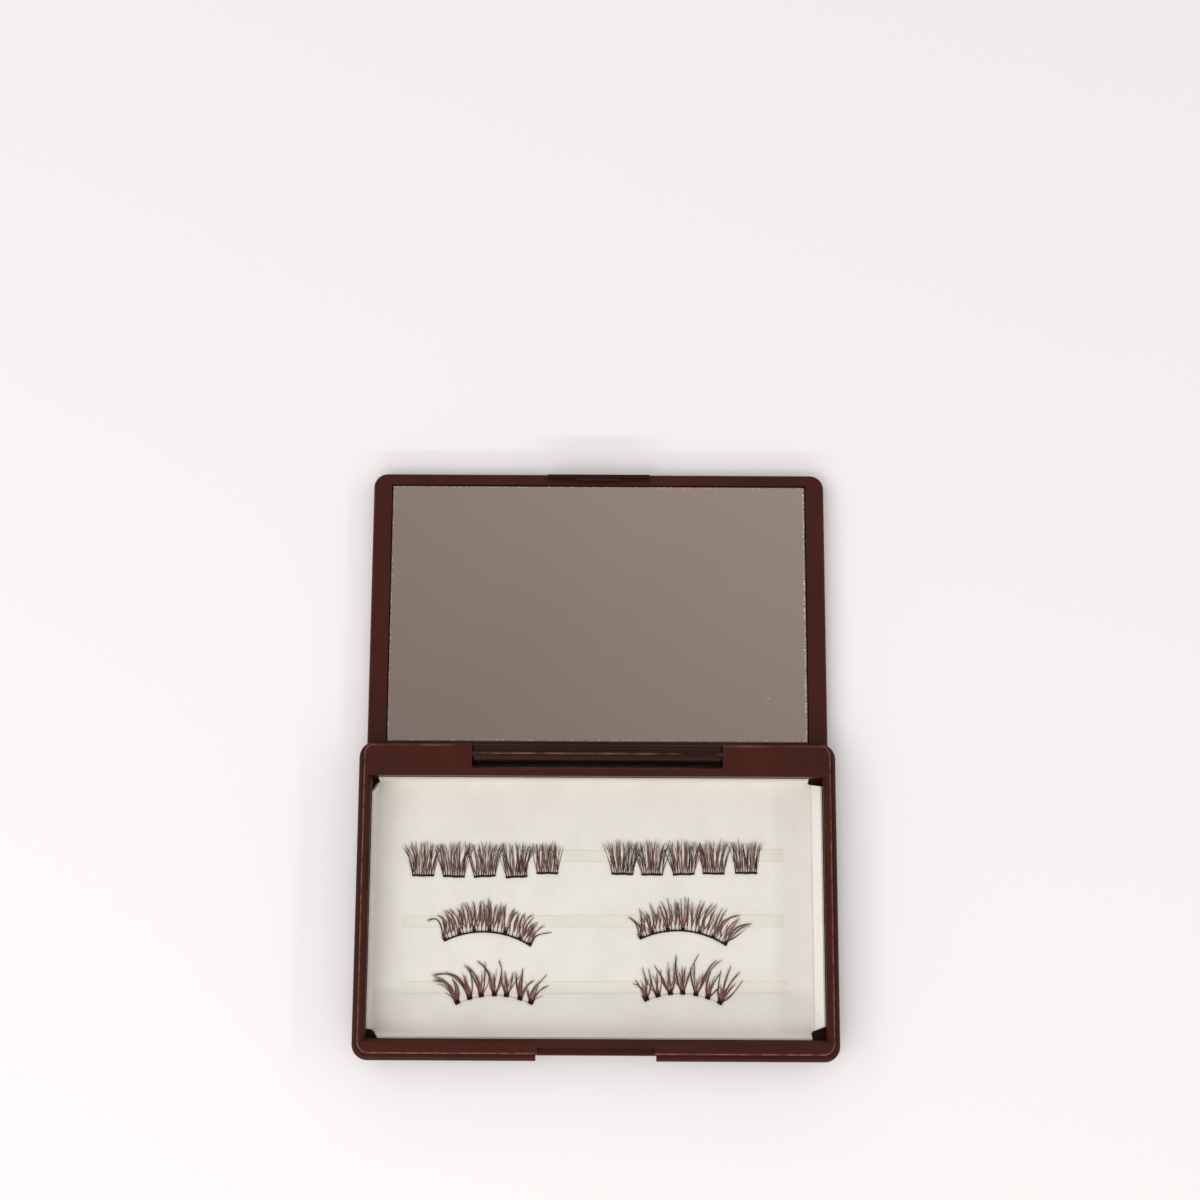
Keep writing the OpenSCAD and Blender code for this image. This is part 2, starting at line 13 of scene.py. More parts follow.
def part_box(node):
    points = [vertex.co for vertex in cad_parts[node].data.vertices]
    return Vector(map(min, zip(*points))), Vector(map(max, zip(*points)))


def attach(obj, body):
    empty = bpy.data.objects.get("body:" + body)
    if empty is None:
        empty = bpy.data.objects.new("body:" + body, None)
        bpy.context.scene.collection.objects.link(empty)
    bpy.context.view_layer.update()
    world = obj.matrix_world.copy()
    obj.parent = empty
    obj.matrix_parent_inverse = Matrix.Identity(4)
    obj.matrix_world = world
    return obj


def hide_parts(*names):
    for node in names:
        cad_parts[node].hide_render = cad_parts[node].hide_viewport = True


bl_info = {
    "name": "False Eyelash Case",
    "version": (1, 0, 0),
    "blender": (4, 5, 0),
    "location": "View3D > Sidebar > Lash Case",
    "description": "Dresses the packed model of an open lash case and sets up its studio",
    "category": "Add Mesh",
}

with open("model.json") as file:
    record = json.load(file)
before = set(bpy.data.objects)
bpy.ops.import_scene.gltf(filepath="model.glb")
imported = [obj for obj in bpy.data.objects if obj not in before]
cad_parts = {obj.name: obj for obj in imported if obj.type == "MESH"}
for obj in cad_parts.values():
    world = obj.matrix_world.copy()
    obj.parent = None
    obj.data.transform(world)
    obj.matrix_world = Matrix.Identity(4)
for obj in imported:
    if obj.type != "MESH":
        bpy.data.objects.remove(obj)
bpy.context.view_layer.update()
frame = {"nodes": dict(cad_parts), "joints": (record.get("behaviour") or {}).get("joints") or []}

MM = 0.001
# Metres to millimetres, for the shaders' numbers
TO_MM = 1000
BASE = "case_base"
LID = "lid"

BASE_LOW, BASE_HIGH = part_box("base_shell")
LID_LOW, LID_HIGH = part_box("lid_shell")
MIRROR_LOW, MIRROR_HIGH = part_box("mirror_glass")
CARD_LOW, CARD_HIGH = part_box("card_tray")
HINGE = Vector(frame["joints"][0]["pos_m"])
# Half the width and half the length of the walls, and the thickness of the lid
WALL_X, WALL_Y, LID_T = 0.0559, 0.0365, 0.00415
# Radius of the outline's corners, and depth of the painted highlight on the rim's rounded edge, in mm
BASE_HIGHLIGHT = (2.8, 0.42)
LID_HIGHLIGHT = (3.4, 0.3)
# From the rear face of the hinge ears in to the painted highlight line on their rounded edge
EAR_HIGHLIGHT = 0.00055
# From the open lid's rim up to where the knuckle's colour turns darker
KNUCKLE_FOOT = 0.0008
# How far the card's left and right flaps lean out, in mm
FLAP_LEANS = (0.6, 2.3)
STRIP_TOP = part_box("adhesive_strip_rear")[1].z
STRIP_MIDDLE = sum(corner.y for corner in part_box("adhesive_strip_middle")) / 2
STRIP_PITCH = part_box("adhesive_strip_rear")[1].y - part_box("adhesive_strip_middle")[1].y
STRIP_HALF = 0.0014
STRIP_TURN = math.radians(0.4)
# Straight parts of a hair, and the share of its length at which its tuft has parted
HAIR_STEPS = 9
PARTED_AT = 0.27
# Height of the hairs above the tape at their roots, and the most that a tip rises above that
HAIR_LIFT = 0.12 * MM
TIP_RISE = 0.25 * MM

# Tufts of the four long lashes, in mm from the top of the band's curve with the lash's own axes: the root's
# X, a point halfway, the tip, and how strong the tuft is, from 3 for a dark one to 1 for a thin pale one
FULL_LEFT = (
    (-10.4, -12.2, 2, -15, 1.9, 3), (-10.1, -10.8, 1.7, -12.6, 3.5, 3), (-9.6, -10.2, 1.5, -11.8, 3.4, 2),
    (-9.3, -9.4, 1.1, -10.6, 3.9, 1), (-8.8, -8.8, 1.6, -11.2, 4.6, 1), (-6.9, -8.7, 2.9, -10.6, 4.6, 3),
    (-6.6, -7.7, 2.8, -9.9, 5.2, 3), (-6.4, -6.8, 3, -8.3, 5.6, 2), (-6.1, -6.5, 3, -7, 6.5, 2),
    (-5, -6, 3.5, -6.9, 6.7, 1), (-4.4, -5, 3.6, -6.3, 6.8, 2), (-3.6, -4.5, 3.8, -5.8, 6.9, 3),
    (-3.2, -3.3, 4.1, -4.2, 7.2, 3), (-2.9, -2.4, 4.4, -2.2, 7.6, 3), (-2, -2.1, 3.7, -2.5, 6.5, 1),
    (-1.1, -1.3, 4.2, -1.8, 7.9, 1), (-0.9, -0.8, 4.2, -1, 6.6, 1), (-0, -0.2, 4.3, -0.5, 8.4, 2),
    (0.3, 0.5, 4.1, -0.1, 7.8, 3), (0.6, 1.1, 3.9, 1.6, 7, 2), (0.2, -0, 4.9, -1.4, 6.6, 1),
    (1.5, 2, 3.9, 2.7, 7.4, 2), (2.4, 2.4, 3.5, 3.2, 6.2, 1), (3.7, 3.6, 4, 3.8, 7.1, 3),
    (4.3, 5.6, 3.7, 6.9, 5.5, 3), (4, 4.8, 3.4, 5.9, 6.3, 2), (4.5, 5.3, 3, 6.1, 5.9, 2),
    (5.9, 6.4, 3.1, 7.4, 5.1, 1), (7.3, 7.5, 2.9, 8.6, 5.1, 3), (7.7, 8.7, 3, 10.7, 4.9, 3),
    (7.8, 9.3, 2.1, 10.9, 4.4, 2), (8.4, 10, 1.7, 11.9, 3.2, 1), (9, 10.4, 1.1, 11.9, 2.9, 1),
    (9.9, 11.3, 0.5, 13.5, 2.5, 3), (10.4, 11.7, -0.2, 15.4, 0.8, 3), (10.2, 10.7, -0.2, 11.7, 1.2, 1),
)
FULL_RIGHT = (
    (-10.1, -11.4, 0.9, -13.5, 2.6, 3), (-9.8, -10.2, 1.4, -11, 4.8, 3), (-9.4, -9.4, 0.8, -9.5, 3.3, 1),
    (-7.6, -9.1, 2.1, -10.7, 4.2, 3), (-7.4, -8.3, 2.2, -9.5, 4.2, 2), (-7.1, -7.3, 2.7, -8.6, 6.3, 3),
    (-6.8, -6.5, 1.6, -6.8, 3.9, 1), (-5.8, -5.9, 2.1, -6.8, 4.1, 1), (-4, -4.9, 3.1, -6.4, 6, 3),
    (-3.6, -4.4, 3.8, -6.1, 7.1, 2), (-3.4, -3.5, 3.6, -4.3, 7.7, 3), (-3.2, -2.7, 3, -2.6, 5.3, 1),
    (-2.1, -2, 3.3, -2.7, 6.9, 1), (-0.6, -1.4, 3.5, -2.5, 7.6, 2), (-0.4, -0.7, 3.8, -1.1, 7.9, 3),
    (-0, -0, 4.1, -0.1, 8.4, 3), (0.3, 0.7, 3.9, 0.7, 8.2, 3), (1.8, 1.8, 3.8, 1.6, 7.4, 1),
    (2.6, 3, 3.4, 3.8, 7.7, 2), (3.6, 3.6, 3.6, 4.7, 7.6, 3), (4, 4.8, 3.7, 6.7, 7.4, 3),
    (4.2, 5.2, 3.5, 7.8, 7.1, 3), (5.7, 6.2, 2.9, 7.8, 6.4, 1), (7, 7.8, 2.8, 9.1, 6.3, 3),
    (7.3, 8.6, 2.8, 10.2, 6, 3), (7.6, 9.8, 3.1, 13.6, 4.8, 3), (8.3, 9.2, 1.5, 11.3, 4.1, 2),
    (9.2, 10.8, 1.6, 13.2, 4, 2), (10.1, 11.5, 1.2, 13.4, 4, 2), (10.6, 12.6, 1.5, 16.6, 3, 3),
    (10.7, 13.3, 1.1, 15.7, 2.8, 2), (10.9, 13.2, -0.1, 16, 2.6, 1),
)
SPIKED_LEFT = (
    (-9, -11.3, 2.5, -14.8, 3.6, 3), (-8.9, -10.8, 2.7, -14.5, 4.5, 3), (-8.6, -9.3, 2.1, -10.1, 4.2, 2),
    (-8.2, -8.6, 1.5, -9.7, 3.8, 2), (-9.2, -11.2, 1.7, -13.9, 3, 1), (-6.5, -9.8, 4.4, -15.1, 4.8, 3),
    (-6.2, -8.1, 3.6, -11.8, 5.5, 3), (-5.8, -6.6, 2.5, -7.8, 5.8, 1), (-5.5, -5.2, 2.5, -5.8, 6.2, 2),
    (-3.7, -4.9, 4, -7.4, 7.5, 3), (-3.3, -4.1, 4, -6.6, 7.1, 3), (-2.5, -2.3, 3.5, -2.1, 8.1, 3),
    (0.1, -1.4, 5.2, -4.3, 8.4, 3), (-0.4, -1, 2.9, -1.4, 6.2, 1), (0.4, 1.7, 5.2, 1, 8.6, 3),
    (0, 0.1, 2.9, 0, 5.2, 1), (2.5, 2, 2.7, 1.7, 4.8, 2), (3.1, 3, 2.7, 2.5, 6, 3),
    (3.5, 4.2, 2.9, 4.6, 5.6, 1), (5.4, 5.4, 2.5, 5.2, 5.8, 3), (6.3, 6.6, 3.1, 6.8, 6.6, 3),
    (6.5, 7.5, 1.8, 9.8, 3.8, 3), (6.2, 6, 2, 6.2, 3.9, 1), (8.1, 8.1, 0.4, 8.1, 1.8, 1),
    (8.7, 9.4, 1, 12.7, 5.1, 2), (9, 10.6, 0.8, 13.1, 2.4, 3), (8.3, 8.9, 0.8, 10.8, 3.5, 1),
)
SPIKED_RIGHT = (
    (-8.9, -9.7, 0.8, -12.4, 2.3, 1), (-8.8, -8.8, 1.8, -9.9, 6.1, 3), (-8, -7.7, 1.7, -8, 3.9, 2),
    (-8.9, -10.2, 1.2, -11.6, 3, 1), (-6.3, -7.3, 1.7, -8.5, 5.9, 2), (-5.8, -6, 1.7, -6.4, 5, 2),
    (-5.3, -5.2, 2, -5.5, 5.8, 3), (-3.2, -5.2, 3.8, -7.2, 6.7, 3), (-3.6, -4.3, 1.6, -5.4, 3.4, 2),
    (-2.8, -3.2, 3.2, -3.9, 7.5, 1), (-2.4, -2.1, 2.9, -2.3, 7.3, 2), (-0.5, -1.6, 3.9, -1.9, 9.4, 3),
    (-0, 0.1, 2.9, 0.4, 6.6, 2), (0.5, 1.6, 5.2, 3.6, 9.8, 3), (-0.2, -0.3, 3.5, -0.6, 7, 1),
    (2.7, 2, 3.6, 1.6, 6.6, 2), (2.9, 2.7, 4, 2.5, 7.7, 3), (3.5, 5.6, 5.4, 8, 8.3, 3),
    (3.6, 6.3, 5.6, 9.4, 8.5, 1), (3.4, 4.8, 2.7, 5.7, 4.7, 2), (5.5, 5.6, 2.3, 6.5, 5.6, 3),
    (6.2, 7, 2.2, 8.9, 5.5, 3), (6.5, 7.9, 1.2, 9, 2.4, 1), (8.4, 8.4, 1.8, 8.9, 6.1, 3),
    (9, 9.8, 2.3, 11.3, 7.2, 3), (9.2, 10.9, 2.3, 13.6, 5.8, 3), (9.6, 11.9, 0.5, 14.4, 4, 2),
    (9.5, 10.9, 0.9, 12.7, 3.2, 2),
)


def linear(red, green, blue):
    """The linear colour of an sRGB one given in 0 to 255."""
    shares = (red / 255, green / 255, blue / 255)
    return tuple(c / 12.92 if c <= 0.04045 else ((c + 0.055) / 1.055) ** 2.4 for c in shares)


def scaled(colour, share):
    """A colour made darker, or paler where share is over 1."""
    return tuple(min(1, part * share) for part in colour)


def tint(red, green, blue, name, description):
    """A colour setting, with its default given as sRGB in 0 to 255."""
    return FloatVectorProperty(
        name=name, description=description, subtype="COLOR", size=3, min=0, max=1,
        default=linear(red, green, blue),
    )


def length(value, name, description):
    """A length setting, with its default in millimetres."""
    return FloatProperty(
        name=name, description=description, subtype="DISTANCE", unit="LENGTH", min=0, precision=5,
        default=value * MM,
    )


class CaseFinish(bpy.types.PropertyGroup):
    """Colours of the moulded case, the mirror and the foil."""

    plastic: tint(67, 28, 18, "Plastic", "Colour of the moulded base and lid")
    plastic_deep: tint(56, 23, 15, "Plastic, deeper", "The plastic's darker patches")
    # Painted highlight: the paler colour of the rims' rounded outer edges and of the thin lines on the
    # hinge ears and the knuckle
    plastic_edge: tint(122, 76, 64, "Plastic, worn", "The plastic's worn outer edges")
    # Painted reflection: these two colours stand in for the dim surroundings that the mirror gives back
    mirror: tint(153, 140, 130, "Mirror", "Colour of what the mirror gives back, at its brightest corner")
    mirror_deep: tint(127, 115, 107, "Mirror, deeper", "The same at its darkest corner")
    # The ground glass edge; its paleness is partly a painted highlight
    mirror_edge: tint(214, 206, 196, "Mirror edge", "Ground edge of the glass")
    foil: tint(172, 134, 48, "Foil", "Hot-stamped foil on the lid")
    pin: tint(88, 86, 88, "Pins", "Drawn steel of the hinge pins")
    foil_width: length(21, "Foil width", "Width of the foil ornament")
    foil_height: length(29, "Foil height", "Height of the foil ornament")


class TrayFinish(bpy.types.PropertyGroup):
    """Colours of the card tray and its tape."""

    card: tint(233, 228, 220, "Card", "Face of the folded card")
    # Besides the duller patches, this is the colour of the painted shade along the folds and beside the
    # left flap
    card_shade: tint(222, 216, 206, "Card, shaded", "The card's duller patches")
    tape: tint(223, 217, 205, "Tape", "Clear tape seen against the card")
    tape_dot: tint(234, 230, 218, "Tape dots", "Raised dots of the tape")
    tape_edge: tint(202, 190, 174, "Tape edge", "The cut edges of the tape")
    dot_pitch: length(0.62, "Dot pitch", "Distance from one dot of the tape to the next")


class LashForm(bpy.types.PropertyGroup):
    """Sizes and colours of the lashes."""

    hair: tint(54, 31, 27, "Hair", "Colour of the hairs")
    hair_pale: tint(138, 98, 88, "Hair, paler", "The paler hairs")
    band: tint(56, 26, 24, "Band", "Colour of the bands and knots")
    thread: tint(206, 196, 182, "Thread", "Clear thread of a spiked lash")
    hair_width: length(0.095, "Hair width", "Thickness of a hair at its root")
    cluster_stems: IntProperty(
        name="Stems of a cluster", description="Stems along a short cluster's band",
        default=10, min=4, max=20,
    )
    tuft_hairs: IntProperty(
        name="Hairs of a tuft", description="Hairs in each tuft of a cluster",
        default=3, min=1, max=12,
    )
    cluster_hair: length(8.3, "Cluster hair", "Length of a short cluster's hairs")
    band_radius: length(21.0, "Band radius", "Radius of a long lash's curved band")


class Studio(bpy.types.PropertyGroup):
    """Floor, lamps and camera."""

    floor: tint(249, 245, 244, "Floor", "Colour of the floor and of what lies behind")
    floor_shadow: FloatProperty(
        name="Floor shadow", description="Share of the floor's look that takes shadows",
        default=1.0, min=0, max=1,
    )
    sky: FloatProperty(
        name="Sky", description="Strength of the even light from all round", default=0.57, min=0,
    )
    key: FloatProperty(
        name="Key", description="Power of each square lamp", subtype="POWER", default=1.25, min=0,
    )
    strip: FloatProperty(
        name="Strips", description="Power of each long lamp", subtype="POWER", default=1.3, min=0,
    )
    lens: FloatProperty(
        name="Lens", description="Focal length in mm on a 36 mm sensor", default=63.13, min=20, max=200,
    )
    camera_tilt: FloatProperty(
        name="Camera tilt", description="Tilt from straight down",
        subtype="ANGLE", default=math.radians(11.705),
    )
    camera_roll: FloatProperty(
        name="Camera roll", description="Turn about its own axis",
        subtype="ANGLE", default=math.radians(0.285),
    )
    camera_height: length(511.25, "Camera height", "Height above the table")
    camera_back: length(32.25, "Camera place", "Distance in front of the base's middle")


class Value:
    """A number in a shader; an expression on it adds the Math nodes."""

    def __init__(self, finish, socket):
        self.finish = finish
        self.socket = socket

    def maths(self, operation, *others):
        sockets = dict(enumerate((self,) + others))
        return self.finish.value("ShaderNodeMath", {"operation": operation}, sockets)

    def __add__(self, other):
        return self.maths("ADD", other)

    def __sub__(self, other):
        return self.maths("SUBTRACT", other)

    def __mul__(self, other):
        return self.maths("MULTIPLY", other)

    def __truediv__(self, other):
        return self.maths("DIVIDE", other)

    def __rsub__(self, other):
        return self.finish.value("ShaderNodeMath", {"operation": "SUBTRACT"}, {0: other, 1: self})

    def __gt__(self, other):
        return self.maths("GREATER_THAN", other)

    def __lt__(self, other):
        return self.maths("LESS_THAN", other)

    __radd__ = __add__
    __rmul__ = __mul__

    def step(self, low, high):
        """0 below low, 1 above high, and smooth between them."""
        settings = {"interpolation_type": "SMOOTHSTEP"}
        sockets = {"Value": self, "From Min": low, "From Max": high}
        return self.finish.value("ShaderNodeMapRange", settings, sockets)


class Finish:
    """A material, and the one place that makes its nodes."""

    def __init__(self, name):
        self.material = bpy.data.materials.new(name)
        self.material.use_nodes = True
        self.tree = self.material.node_tree
        self.shader = self.tree.nodes["Principled BSDF"]

    def node(self, kind, settings=(), sockets=()):
        """A node of that kind, with its settings made first and then its sockets filled or linked."""
        made = self.tree.nodes.new(kind)
        for key, setting in dict(settings).items():
            setattr(made, key, setting)
        for key, filling in dict(sockets).items():
            self.fill(made.inputs[key], filling)
        return made

    def fill(self, socket, filling):
        """Links a node's output to a socket, or sets the socket to a number or colour."""
        if isinstance(filling, Value):
            filling = filling.socket
        if isinstance(filling, bpy.types.NodeSocket):
            self.tree.links.new(filling, socket)
        elif socket.type == "RGBA":
            socket.default_value = (*filling[:3], 1)
        else:
            socket.default_value = filling

    def value(self, kind, settings=(), sockets=(), output=0):
        return Value(self, self.node(kind, settings, sockets).outputs[output])

    def place(self):
        """The point of the surface, in metres in the object's own frame."""
        return self.node("ShaderNodeTexCoord").outputs["Object"]

    def axes(self):
        """The point's X, Y and Z as three values in millimetres."""
        split = self.node("ShaderNodeSeparateXYZ", sockets={0: self.place()})
        return [Value(self, out) * TO_MM for out in split.outputs]

    def noise(self, scale, detail=3.0, roughness=0.55, stretch=(1, 1, 1), distortion=0.0):
        """Noise with that many features to the metre, 0 to 1."""
        spread = self.node("ShaderNodeMapping", sockets={"Vector": self.place(), "Scale": stretch})
        sockets = {
            "Vector": spread.outputs[0], "Scale": scale, "Detail": detail, "Roughness": roughness,
            "Distortion": distortion,
        }
        return self.value("ShaderNodeTexNoise", sockets=sockets)

    def blend(self, share, first, second):
        """One colour turning into another."""
        sockets = {0: share, 6: first, 7: second}
        return self.node("ShaderNodeMix", {"data_type": "RGBA"}, sockets).outputs[2]

    def bump(self, height, depth, strength=1.0):
        """Makes the surface uneven: height runs from 0 to 1, and depth is in metres."""
        sockets = {"Height": height, "Distance": depth, "Strength": strength}
        made = self.node("ShaderNodeBump", sockets=sockets)
        self.fill(self.shader.inputs["Normal"], made.outputs[0])

    def surface(self, **sockets):
        """Fills the shader's sockets, which are named in small letters, and gives the material."""
        for key, filling in sockets.items():
            name = key.replace("_", " ").title().replace("Ior", "IOR")
            self.fill(self.shader.inputs[name], filling)
        return self.material


def dress(node_name, material):
    """Puts a finish on a node of the frame, whose mesh stays as it is."""
    piece = frame["nodes"][node_name]
    piece.data.materials.clear()
    piece.data.materials.append(material)
    return piece


def new_object(name, data):
    """An object in the scene, made of that mesh, curve, lamp or camera."""
    made = bpy.data.objects.new(name, data)
    bpy.context.scene.collection.objects.link(made)
    return made


def make_piece(name, mesh, body, material):
    """A finished piece at the origin, which rides on a body."""
    piece = new_object(name, mesh)
    mesh.materials.append(material)
    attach(piece, body)
    return piece


def mesh_from(shape, name):
    """A flat-shaded mesh from a bmesh, which it frees."""
    mesh = bpy.data.meshes.new(name)
    bmesh.ops.recalc_face_normals(shape, faces=shape.faces)
    shape.to_mesh(mesh)
    shape.free()
    mesh.polygons.foreach_set("use_smooth", [False] * len(mesh.polygons))
    return mesh


def brown_plastic(colours, name, low, high, highlight_sizes, highlight_line, darkened_from=None):
    """Satin moulded plastic with hair scratches; a painted highlight makes the rounded edge of its rim
    paler.
    low and high are the outline's corners; the next argument gives their radius and the depth of the
    painted highlight, the one after is a place on a broken painted highlight line along X, and above the
    last one the plastic's colour is darker."""
    finish = Finish(name)
    x, y, z = finish.axes()
    corner, fade = highlight_sizes
    middle, half = (low + high) / 2 * TO_MM, (high - low) / 2 * TO_MM
    across = (x - middle.x).maths("ABSOLUTE") - (half.x - corner)
    along = (y - middle.y).maths("ABSOLUTE") - (half.y - corner)
    beyond_x, beyond_y = across.maths("MAXIMUM", 0.0), along.maths("MAXIMUM", 0.0)
    round_part = (beyond_x * beyond_x + beyond_y * beyond_y).maths("SQRT")
    inside = corner - round_part - across.maths("MAXIMUM", along).maths("MINIMUM", 0.0)
    patches = finish.noise(38, 4)
    grain = finish.noise(5200, 2, 0.6)
    # Painted highlight: a broken paler band along the rim's rounded outer edge
    highlight_breaks = finish.noise(420, 3, 0.6).step(0.3, 0.62)
    near_top = (z - (high.z * TO_MM - fade)).step(0.0, fade * 0.7)
    edge = (1 - inside.step(fade * 0.55, fade)) * near_top * highlight_breaks
    scratches = finish.noise(260, 2, 0.5, stretch=(1, 22, 22)).step(0.64, 0.7)
    colour = finish.blend(patches.step(0.3, 0.75), colours.plastic, colours.plastic_deep)
    colour = finish.blend(edge, colour, colours.plastic_edge)
    # The colour turns darker above the given height
    if darkened_from is not None:
        darkened = (z - darkened_from * TO_MM).step(0.0, 0.4)
        colour = finish.blend(darkened * 0.9, colour, scaled(colours.plastic_deep, 0.4))
    # Painted highlight: a thin broken pale line along X, on the hinge ears' rear edge and on the knuckle's
    # top
    off_line = (y - highlight_line.y * TO_MM).maths("ABSOLUTE")
    line = (off_line * -1).step(-0.3, -0.1) * (z - highlight_line.z * TO_MM).step(-0.5, -0.2)
    broken = finish.noise(90, 3, 0.6, stretch=(1, 0.2, 0.2)).step(0.38, 0.64)
    colour = finish.blend(line * broken * 0.9, colour, colours.plastic_edge)
    finish.bump(grain * 0.6 + finish.noise(900, 2) * 0.4, 0.000012, 0.5)
    return finish.surface(
        base_color=colour,
        roughness=0.24 + patches * 0.08 + grain * 0.04 - scratches * 0.04,
        specular_ior_level=0.11,
    )


def silvered_glass(colours):
    """The mirror: a clear reflection whose colour is a painted reflection of dim surroundings, brighter
    towards one corner, with dust on it, and a frosted ground edge whose paleness is partly a painted
    highlight.
    """
    finish = Finish("silvered_glass")
    x, y, _ = finish.axes()
    middle = (MIRROR_LOW + MIRROR_HIGH) / 2 * TO_MM
    half = (MIRROR_HIGH - MIRROR_LOW) / 2 * TO_MM
    inside_x = half.x - (x - middle.x).maths("ABSOLUTE")
    inside_y = half.y - (y - middle.y).maths("ABSOLUTE")
    border = inside_x.maths("MINIMUM", inside_y)
    near_right = (x - middle.x - half.x + 1).step(0, 0.5)
    # The ground edge and its chips are painted pale and less metallic, partly as a painted highlight on the
    # glass edge
    chips = finish.noise(2400, 2, 0.7).step(0.5, 0.6) * (0.16 + near_right * 0.26)
    edge = 1 - (border - chips).step(0.1, 0.2)
    cells = finish.node("ShaderNodeTexVoronoi", {"feature": "F1"}, {"Vector": finish.place(), "Scale": 95})
    near = Value(finish, cells.outputs["Distance"])
    lot = finish.value("ShaderNodeSeparateColor", sockets={0: cells.outputs["Color"]})
    dust = (near < 0.018) * (lot > 0.72)
    mark = edge.maths("MAXIMUM", dust * 0.5)
    # Painted reflection: the colour runs brighter towards one corner and is clouded, standing in for the
    # surroundings that the mirror gives back
    slope = 0.5 + (x - middle.x) / half.x * 0.25 + (y - middle.y) / half.y * 0.25
    reflection_clouds = (finish.noise(16, 3) - 0.5) * 0.3
    painted_reflection = finish.blend(slope + reflection_clouds, colours.mirror_deep, colours.mirror)
    return finish.surface(
        base_color=finish.blend(mark, painted_reflection, colours.mirror_edge),
        metallic=1 - mark * 0.75,
        roughness=0.06 + mark * 0.5,
    )


def paper_card(colours):
    """Uncoated card: mottled, with fibres and a faint pressed hatching; painted shade along the folds and
    beside the left flap, and painted light on the right flap.
    """
    finish = Finish("paper_card")
    x, y, _ = finish.axes()
    mottle = finish.noise(90, 5, 0.65)
    fibres = finish.noise(2100, 4, 0.7, stretch=(1, 0.35, 1), distortion=1.2)
    hatch = ((x + y) * 6.3).maths("SINE") * 0.5 + 0.5
    colour = finish.blend(mottle.step(0.35, 0.75) * 0.6, colours.card, colours.card_shade)
    colour = finish.blend(fibres.step(0.5, 0.8) * 0.25, colour, colours.card_shade)
    # Distances out past the folds of the left and right flaps
    left_fold = (CARD_LOW.x * TO_MM + FLAP_LEANS[0]) - x
    right_fold = x - (CARD_HIGH.x * TO_MM - FLAP_LEANS[1])
    # Painted shade: a darker line along each fold
    for fold, width in ((right_fold, 0.2), (left_fold, 0.3)):
        crease_shade = (fold.maths("ABSOLUTE") * -1).step(-width, -width * 0.3) * mottle.step(0.2, 0.5)
        colour = finish.blend(crease_shade * 0.5, colour, scaled(colours.card_shade, 0.72))
    # Painted light: the right flap is painted paler than the rest of the card
    colour = finish.blend(right_fold.step(0.1, 0.3), colour, scaled(colours.card, 1.13))
    # Painted shadow: the card is painted darker beside the left flap
    wall_shadow = left_fold.step(-8.0, -0.5) * (left_fold * -1).step(-0.1, 0.1)
    colour = finish.blend(wall_shadow * wall_shadow * 0.6, colour, scaled(colours.card_shade, 0.84))
    pressed = hatch * finish.noise(60, 1).step(0.45, 0.6)
    finish.bump(fibres * 0.6 + mottle * 0.9 + pressed * 0.3, 0.00005, 0.6)
    return finish.surface(base_color=colour, roughness=0.82 + mottle * 0.1, specular_ior_level=0.25)


def dotted_tape(colours):
    """Clear tape with rows of small raised dots."""
    finish = Finish("dotted_tape")
    x, y, _ = finish.axes()
    turns = 2 * math.pi * MM / colours.dot_pitch
    dots = ((x * turns).maths("SINE") * (y * turns).maths("SINE") * 0.5 + 0.5).step(0.55, 0.8)
    smear = finish.noise(160, 3)
    # Distance from the middle of the nearest strip, in mm towards the hinge
    row = (y - x * math.tan(STRIP_TURN) - STRIP_MIDDLE / MM) / (STRIP_PITCH / MM)
    off_row = (row - row.maths("ROUND")) * (STRIP_PITCH / MM)
    rough = finish.noise(1100, 2) * 0.12
    inner, outer = STRIP_HALF / MM - 0.2, STRIP_HALF / MM - 0.08
    rear_cut = (off_row - rough).step(inner, outer)
    front_cut = (off_row * -1 - rough).step(inner, outer)
    colour = finish.blend(dots * 0.7 + smear * 0.2, colours.tape, colours.tape_dot)
    colour = finish.blend(rear_cut * 0.15 + front_cut * 0.85, colour, colours.tape_edge)
    finish.bump(dots + smear * 0.3, 0.00004, 0.7)
    return finish.surface(base_color=colour, roughness=0.32 + smear * 0.2, specular_ior_level=0.5)


def drawn_steel(colours):
    """Steel wire with fine lines along its length."""
    finish = Finish("drawn_steel")
    lines = finish.noise(900, 2, 0.6, stretch=(0.05, 1, 1))
    finish.bump(lines, 0.000008, 0.5)
    return finish.surface(base_color=colours.pin, metallic=1.0, roughness=0.25 + lines * 0.2)


def stamped_foil(colours):
    """Hot-stamped foil, a little wrinkled."""
    finish = Finish("stamped_foil")
    wrinkle = finish.noise(1500, 3, 0.6)
    colour = finish.blend(wrinkle.step(0.35, 0.7), colours.foil, scaled(colours.foil, 0.8))
    finish.bump(wrinkle, 0.00001, 0.6)
    return finish.surface(base_color=colour, metallic=0.85, roughness=0.34 + wrinkle * 0.16)


def lash_hair(name, first, second):
    """Synthetic hair of the first colour, which leans here and there towards the second."""
    finish = Finish(name)
    strand = finish.noise(450, 2, 0.6)
    sheen = finish.noise(420, 2, 0.5)
    colour = finish.blend(strand.step(0.4, 0.7) * 0.12, first, second)
    return finish.surface(base_color=colour, roughness=0.5 + sheen * 0.2, specular_ior_level=0.02)


def lash_band(form):
    """The lumpy glue of the bands and knots."""
    finish = Finish("lash_band")
    lumps = finish.noise(2600, 2, 0.6)
    colour = finish.blend(lumps.step(0.4, 0.7), form.band, scaled(form.band, 0.6))
    finish.bump(lumps, 0.00004, 0.6)
    return finish.surface(base_color=colour, roughness=0.5 + lumps * 0.2, specular_ior_level=0.05)


def clear_thread(form):
    """The see-through thread that carries a spiked lash's knots."""
    finish = Finish("clear_thread")
    lumps = finish.noise(1800, 2, 0.5)
    colour = finish.blend(lumps * 0.4, form.thread, scaled(form.thread, 0.8))
    return finish.surface(base_color=colour, roughness=0.2 + lumps * 0.15, alpha=0.75)


